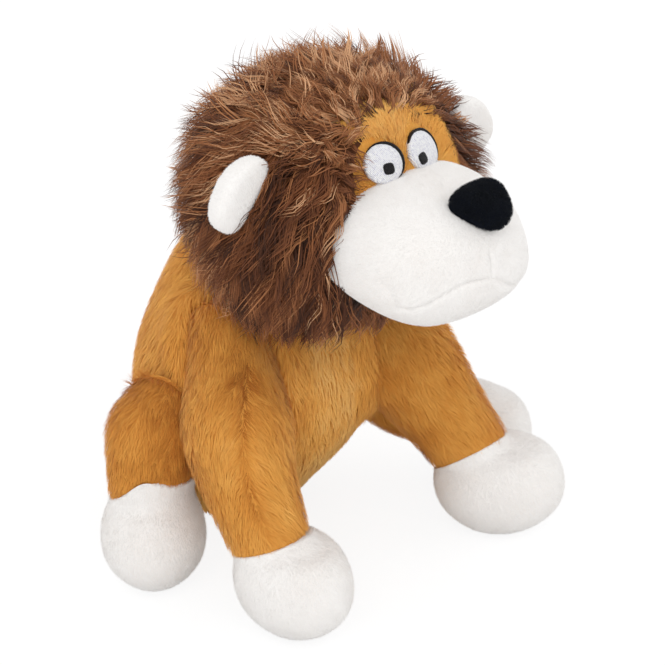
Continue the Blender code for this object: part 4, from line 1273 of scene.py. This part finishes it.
def makeEye(name, side):
    centre = headShape["centre"]
    halves = headShape["halves"]

    def inFrontOfHead(x, z):
        rest = 1 - ((x - centre.x) / halves[0]) ** 2 - ((z - centre.z) / halves[2]) ** 2
        return Vector((x, centre.y - halves[1] * math.sqrt(rest), z))

    middle = inFrontOfHead(side * eyeShape["beside"][side], centre.z + eyeShape["rise"][side])
    normal = Vector([(middle[i] - centre[i]) / halves[i] ** 2 for i in range(3)]).normalized()
    along = up.cross(normal).normalized()
    across = normal.cross(along)

    def seated(flat, lift):
        # a point of the eye's plane dropped onto the head along the eye's own direction
        best = flat
        for _ in range(8):
            size = sum(((best[i] - centre[i]) / halves[i]) ** 2 for i in range(3))
            best = best - normal * ((size - 1) * halves[1] / 2)
        return best + normal * lift

    def disc(label, spot, outline, lift, rounds, segments, wall):
        # a domed patch that follows the head, closed by a wall and a back
        shape = bmesh.new()
        angles = [math.tau * turn / segments for turn in range(segments)]
        loops = []
        for step in range(rounds):
            share = (step + 1) / rounds
            loops.append([shape.verts.new(seated(spot + outline(a) * share, lift(share))) for a in angles])
        hub = shape.verts.new(seated(spot, lift(0)))
        back = [shape.verts.new(seated(spot + outline(angle), -wall)) for angle in angles]
        loops.append(back)
        for turn in range(segments):
            after = (turn + 1) % segments
            shape.faces.new((hub, loops[0][turn], loops[0][after]))
            for low, high in zip(loops, loops[1:]):
                shape.faces.new((low[turn], high[turn], high[after], low[after]))
        shape.faces.new(back)
        return fromBmesh(label, shape)

    def oval(angle, wide, high, swell):
        return along * (wide / 2 * math.cos(angle) * swell) + across * (high / 2 * math.sin(angle) * swell)

    def whiteEdge(angle):
        return oval(angle, eyeShape["wide"][side], eyeShape["high"], 1 + 0.004 * math.sin(23 * angle))

    def whiteLift(share):
        return eyeShape["edge"] + (eyeShape["dome"] - eyeShape["edge"]) * (1 - share**3)

    def pupilEdge(angle):
        # a rounded block with ragged thread ends
        power = eyeShape["squareness"]
        square = (abs(math.cos(angle)) ** power + abs(math.sin(angle)) ** power) ** (-1 / power)
        ragged = 1 + 0.035 * math.sin(19 * angle + side) + 0.025 * math.sin(31 * angle)
        return oval(angle, eyeShape["pupilWide"], eyeShape["pupilHigh"], square * ragged)

    def pupilLift(share):
        return eyeShape["dome"] + 0.45 * mm - 0.25 * mm * share**4

    def rimSection(turn):
        # the outline, a crescent that thins to nothing on the far side
        angle = math.tau * turn / eyeShape["rimPoints"]
        facing = math.cos(angle - math.radians(eyeShape["rimFrom"]))
        thick = max(0.0, 0.25 + 0.75 * facing) ** 0.8
        wide = (eyeShape["rim"] + 0.25 * mm) * thick - 0.25 * mm
        inner = (0.3 + 0.7 * thick) * mm
        edge = whiteEdge(angle)
        stitch = 0.1 * mm * (turn % 2)
        section = (
            (-0.5 * mm, -1.0 * mm), (-0.35 * mm, inner + stitch),
            (wide * 0.35, inner + 0.45 * mm * thick + stitch), (wide, inner * 0.9 + stitch),
            (wide + 0.1 * mm, -1.0 * mm),
        )
        return [seated(middle + edge + edge.normalized() * reach, lift) for reach, lift in section]

    white = disc("white", middle, whiteEdge, whiteLift, 10, 96, 2 * mm)
    spot = middle - across * eyeShape["drop"][side] - along * (side * eyeShape["shift"][side])
    pupil = disc("pupil", spot, pupilEdge, pupilLift, 5, 96, 1 * mm)
    shape = bmesh.new()
    rows = [[shape.verts.new(spot) for spot in rimSection(turn)] for turn in range(eyeShape["rimPoints"])]
    for row, after in zip(rows, rows[1:] + rows[:1]):
        bridge(shape, row, after)
    rim = fromBmesh("rim", shape)
    for piece, finish, part in (
        (white, "whiteThread", "_white"), (pupil, "darkThread", "_pupil"), (rim, "darkThread", "_rim"),
    ):
        keep(piece, name + part + "_stitching", finish, "head", nodes=(name + part,))


makeEye("eye_right", -1)
makeEye("eye_left", 1)
print("eyes made")


# ears

earShape = {
    "halves": (12 * mm, 7.5 * mm, 20 * mm), "lean": 38, "proud": 14 * mm, "fullness": 2.8, "bend": 5 * mm,
    "roots": {-1: (-62.69, -84.9, 234), 1: (67.3, -84.9, 221)}, "slimmer": 0.22, "inset": 0.8 * mm,
    # the hollow in front
    "dish": 1.0 * mm, "dishWide": 8 * mm, "dishHigh": 13 * mm,
}


def makeEar(name, side, seed):
    centre = Vector(earShape["roots"][side]) * mm + sideways * (side * earShape["proud"])
    ear = roundForm(name, Vector((0, 0, 0)), earShape["halves"], 23, earShape["fullness"])
    places = placesOf(ear)
    high = places[:, 2] / earShape["halves"][2]
    # slimmer at the top, and bent like a bean towards the head
    places[:, 0] *= 1 - earShape["slimmer"] * np.clip(high, 0, 1) ** 1.5
    places[:, 0] += -side * earShape["bend"] * (np.where(high > 0, 1.0, 0.35) * high**2 - 0.2)
    dish = bell(places[:, 0], earShape["dishWide"]) * bell(places[:, 2], earShape["dishHigh"])
    places[:, 1] += np.where(places[:, 1] < 0, dish * earShape["dish"], 0)
    lean = Matrix.Rotation(math.radians(-side * earShape["lean"]), 3, "Y")
    setPlaces(ear, places @ np.array(lean).T + np.array(centre))
    shrunk(ear, earShape["inset"])
    fuzz = growPile(ear, name + "_fuzz", 1, "whiteStrands", whitePile, seed, (0, 0.6, -1))
    keep(ear, name + "_velour", "whiteVelour", name, (name,))
    keep(fuzz, name + "_fuzz", "whiteStrands", name)


makeEar("ear_right", -1, 81)
makeEar("ear_left", 1, 82)
print("ears made")


# tail

tailShape = {
    "root": (0, 39.26, 50), "reach": 34, "curl": 52, "radius": 6, "inset": 2.2 * mm,
    # sideways, back and down, then the radius
    "stations": (
        (0.00, -0.10, 0.00, 1.25), (0.02, 0.30, 0.08, 1.20), (0.10, 0.66, 0.45, 1.00),
        (0.30, 0.94, 0.86, 0.95), (0.62, 1.00, 1.00, 0.90), (1.00, 0.86, 1.00, 0.90),
    ),
    "pile": {"Length": 6 * mm, "Density": 0.9e6, "Width": 0.45 * mm, "Clump size": 6 * mm, "Lift": 0.55},
    "tuftRadius": 12, "tuftLength": 44, "lap": 6, "tuftInset": 4.5 * mm,
    "tuftStations": ((0.00, 0.55), (0.08, 0.80), (0.38, 1.05), (0.72, 0.85), (1.00, 0.22)),
    "tuftPile": {
        "Length": 24 * mm, "Density": 0.9e6, "Width": 0.7 * mm, "Lift": 0.3, "Sag": 0.15, "Lean": 0.5,
        "Sweep": 0.45, "Clump size": 9 * mm, "Clump pull": 0.6, "Stray": 0.6, "Swirl": 0.5, "Wave": 0.08,
    },
}


def tube(name, points, radii):
    rings = []
    last = len(points) - 1
    for place, (point, radius) in enumerate(zip(points, radii)):
        tangent = (points[min(place + 1, last)] - points[max(place - 1, 0)]).normalized()
        along = tangent.cross(up).normalized()
        rings.append(ring(point, along, tangent.cross(along), radius, radius, 6))
    return loft(name, rings, 3)


def alongPath(places, points):
    spots = np.array([tuple(point) for point in points])
    ways = np.diff(spots, axis=0)
    ways = np.vstack([ways, ways[-1:]])
    nearest = np.argmin(((places[:, None] - spots[None]) ** 2).sum(2), axis=1)
    return unit(ways[nearest])


def makeTail():
    root = Vector(tailShape["root"])
    drop = root.z - tailShape["tuftRadius"]
    points = []
    for side, back, down, _ in tailShape["stations"]:
        offset = Vector((side * tailShape["curl"], back * tailShape["reach"], -down * drop))
        points.append((root + offset) * mm)
    radii = [fullness * tailShape["radius"] * mm for *_, fullness in tailShape["stations"]]
    tail = shrunk(tube("tail_cover", points, radii), tailShape["inset"])
    comb = alongPath(placesOf(tail), points)
    coat = growPile(tail, "tail_pile", 3, "orangeStrands", tailShape["pile"], 91, comb)

    heading = (points[-1] - points[-2]).normalized()
    start = points[-1] - heading * tailShape["lap"] * mm
    length = tailShape["tuftLength"] * mm
    points = [start + heading * (place * length) for place, _ in tailShape["tuftStations"]]
    radii = [share * tailShape["tuftRadius"] * mm for _, share in tailShape["tuftStations"]]
    tuft = shrunk(tube("tuft_base", points, radii), tailShape["tuftInset"])
    far = (placesOf(tuft) - np.array(start)) @ np.array(heading) / length
    pile = 1 - 0.55 * np.clip(far, 0, 1)
    brush = growPile(tuft, "tuft_locks", 4, "maneStrands", tailShape["tuftPile"], 92, heading, pile)
    keep(tail, "tail_cover", "orangeCloth", "tail", ("tail",))
    keep(coat, "tail_pile", "orangeStrands", "tail")
    keep(tuft, "tuft_base", "maneCloth", "tail", ("tail_tuft",))
    keep(brush, "tuft_locks", "maneStrands", "tail")


makeTail()
discard(torsoForm, *legForms.values(), *strands.values())
print("tail made")


# floor, light and camera

studio = {
    "floor": 6.0, "worldLight": 0.84, "keyPower": 19, "keySize": 1.6, "keyAt": (-1.7, -1.3, 2.0),
    "fillPower": 5, "fillSize": 1.6, "fillAt": (1.6, -1.4, 1.2), "floorTone": 0.9, "floorGlow": 1.08,
}
view = {"azimuth": -45, "elevation": 28, "distance": 1.35, "target": (-0.0045, -0.0749, 0.130), "lens": 146.2}


def seenDirectly(tree):
    # 1 for what the camera sees, also in a mirror or through glass
    seen = addNode(tree, "ShaderNodeLightPath").outputs
    return greater(seen["Is Camera Ray"], greater(seen["Is Glossy Ray"], seen["Is Transmission Ray"]))


def makeFloor():
    shape = bmesh.new()
    bmesh.ops.create_grid(shape, x_segments=1, y_segments=1, size=studio["floor"] / 2)
    floor = fromBmesh("floor", shape)
    finish = bpy.data.materials.new("paleFloor")
    finish.use_nodes = True
    tree = finish.node_tree
    tree.nodes.clear()
    share = times(seenDirectly(tree), 0.8)
    matte = addNode(tree, "ShaderNodeBsdfDiffuse", {"Color": (*[studio["floorTone"]] * 3, 1)})
    glow = addNode(tree, "ShaderNodeEmission", {"Color": (1, 1, 1, 1), "Strength": studio["floorGlow"]})
    mix = addNode(tree, "ShaderNodeMixShader", {0: share, 1: matte.outputs[0], 2: glow.outputs[0]})
    addNode(tree, "ShaderNodeOutputMaterial", {0: mix.outputs[0]})
    floor.data.materials.append(finish)


def makeLight():
    world = bpy.data.worlds.new("studio")
    bpy.context.scene.world = world
    world.use_nodes = True
    tree = world.node_tree
    tree.nodes.clear()
    strength = timesPlus(seenDirectly(tree), 1 - studio["worldLight"], studio["worldLight"])
    sky = addNode(tree, "ShaderNodeBackground", {"Color": (1, 1, 1, 1), "Strength": strength})
    addNode(tree, "ShaderNodeOutputWorld", {0: sky.outputs[0]})
    for name in ("key", "fill"):
        lamp = bpy.data.lights.new(name, "AREA")
        lamp.energy = studio[name + "Power"]
        lamp.size = studio[name + "Size"]
        holder = newPiece(name, lamp)
        holder.location = studio[name + "At"]
        facing = Vector(view["target"]) - holder.location
        holder.rotation_euler = facing.to_track_quat("-Z", "Y").to_euler()


def makeCamera():
    camera = bpy.data.cameras.new("camera")
    holder = newPiece("camera", camera)
    azimuth, elevation = math.radians(view["azimuth"]), math.radians(view["elevation"])
    level = Vector((math.sin(azimuth), -math.cos(azimuth), 0))
    back = level * math.cos(elevation) + up * math.sin(elevation)
    holder.location = Vector(view["target"]) + back * view["distance"]
    holder.rotation_euler = (-back).to_track_quat("-Z", "Y").to_euler()
    camera.lens = view["lens"]
    camera.sensor_width = 36
    camera.clip_start = 0.05
    camera.clip_end = 30
    bpy.context.scene.camera = holder


makeFloor()
makeLight()
makeCamera()
bpy.context.scene.view_settings.view_transform = "Standard"
print("studio made")

bpy.context.view_layer.update()
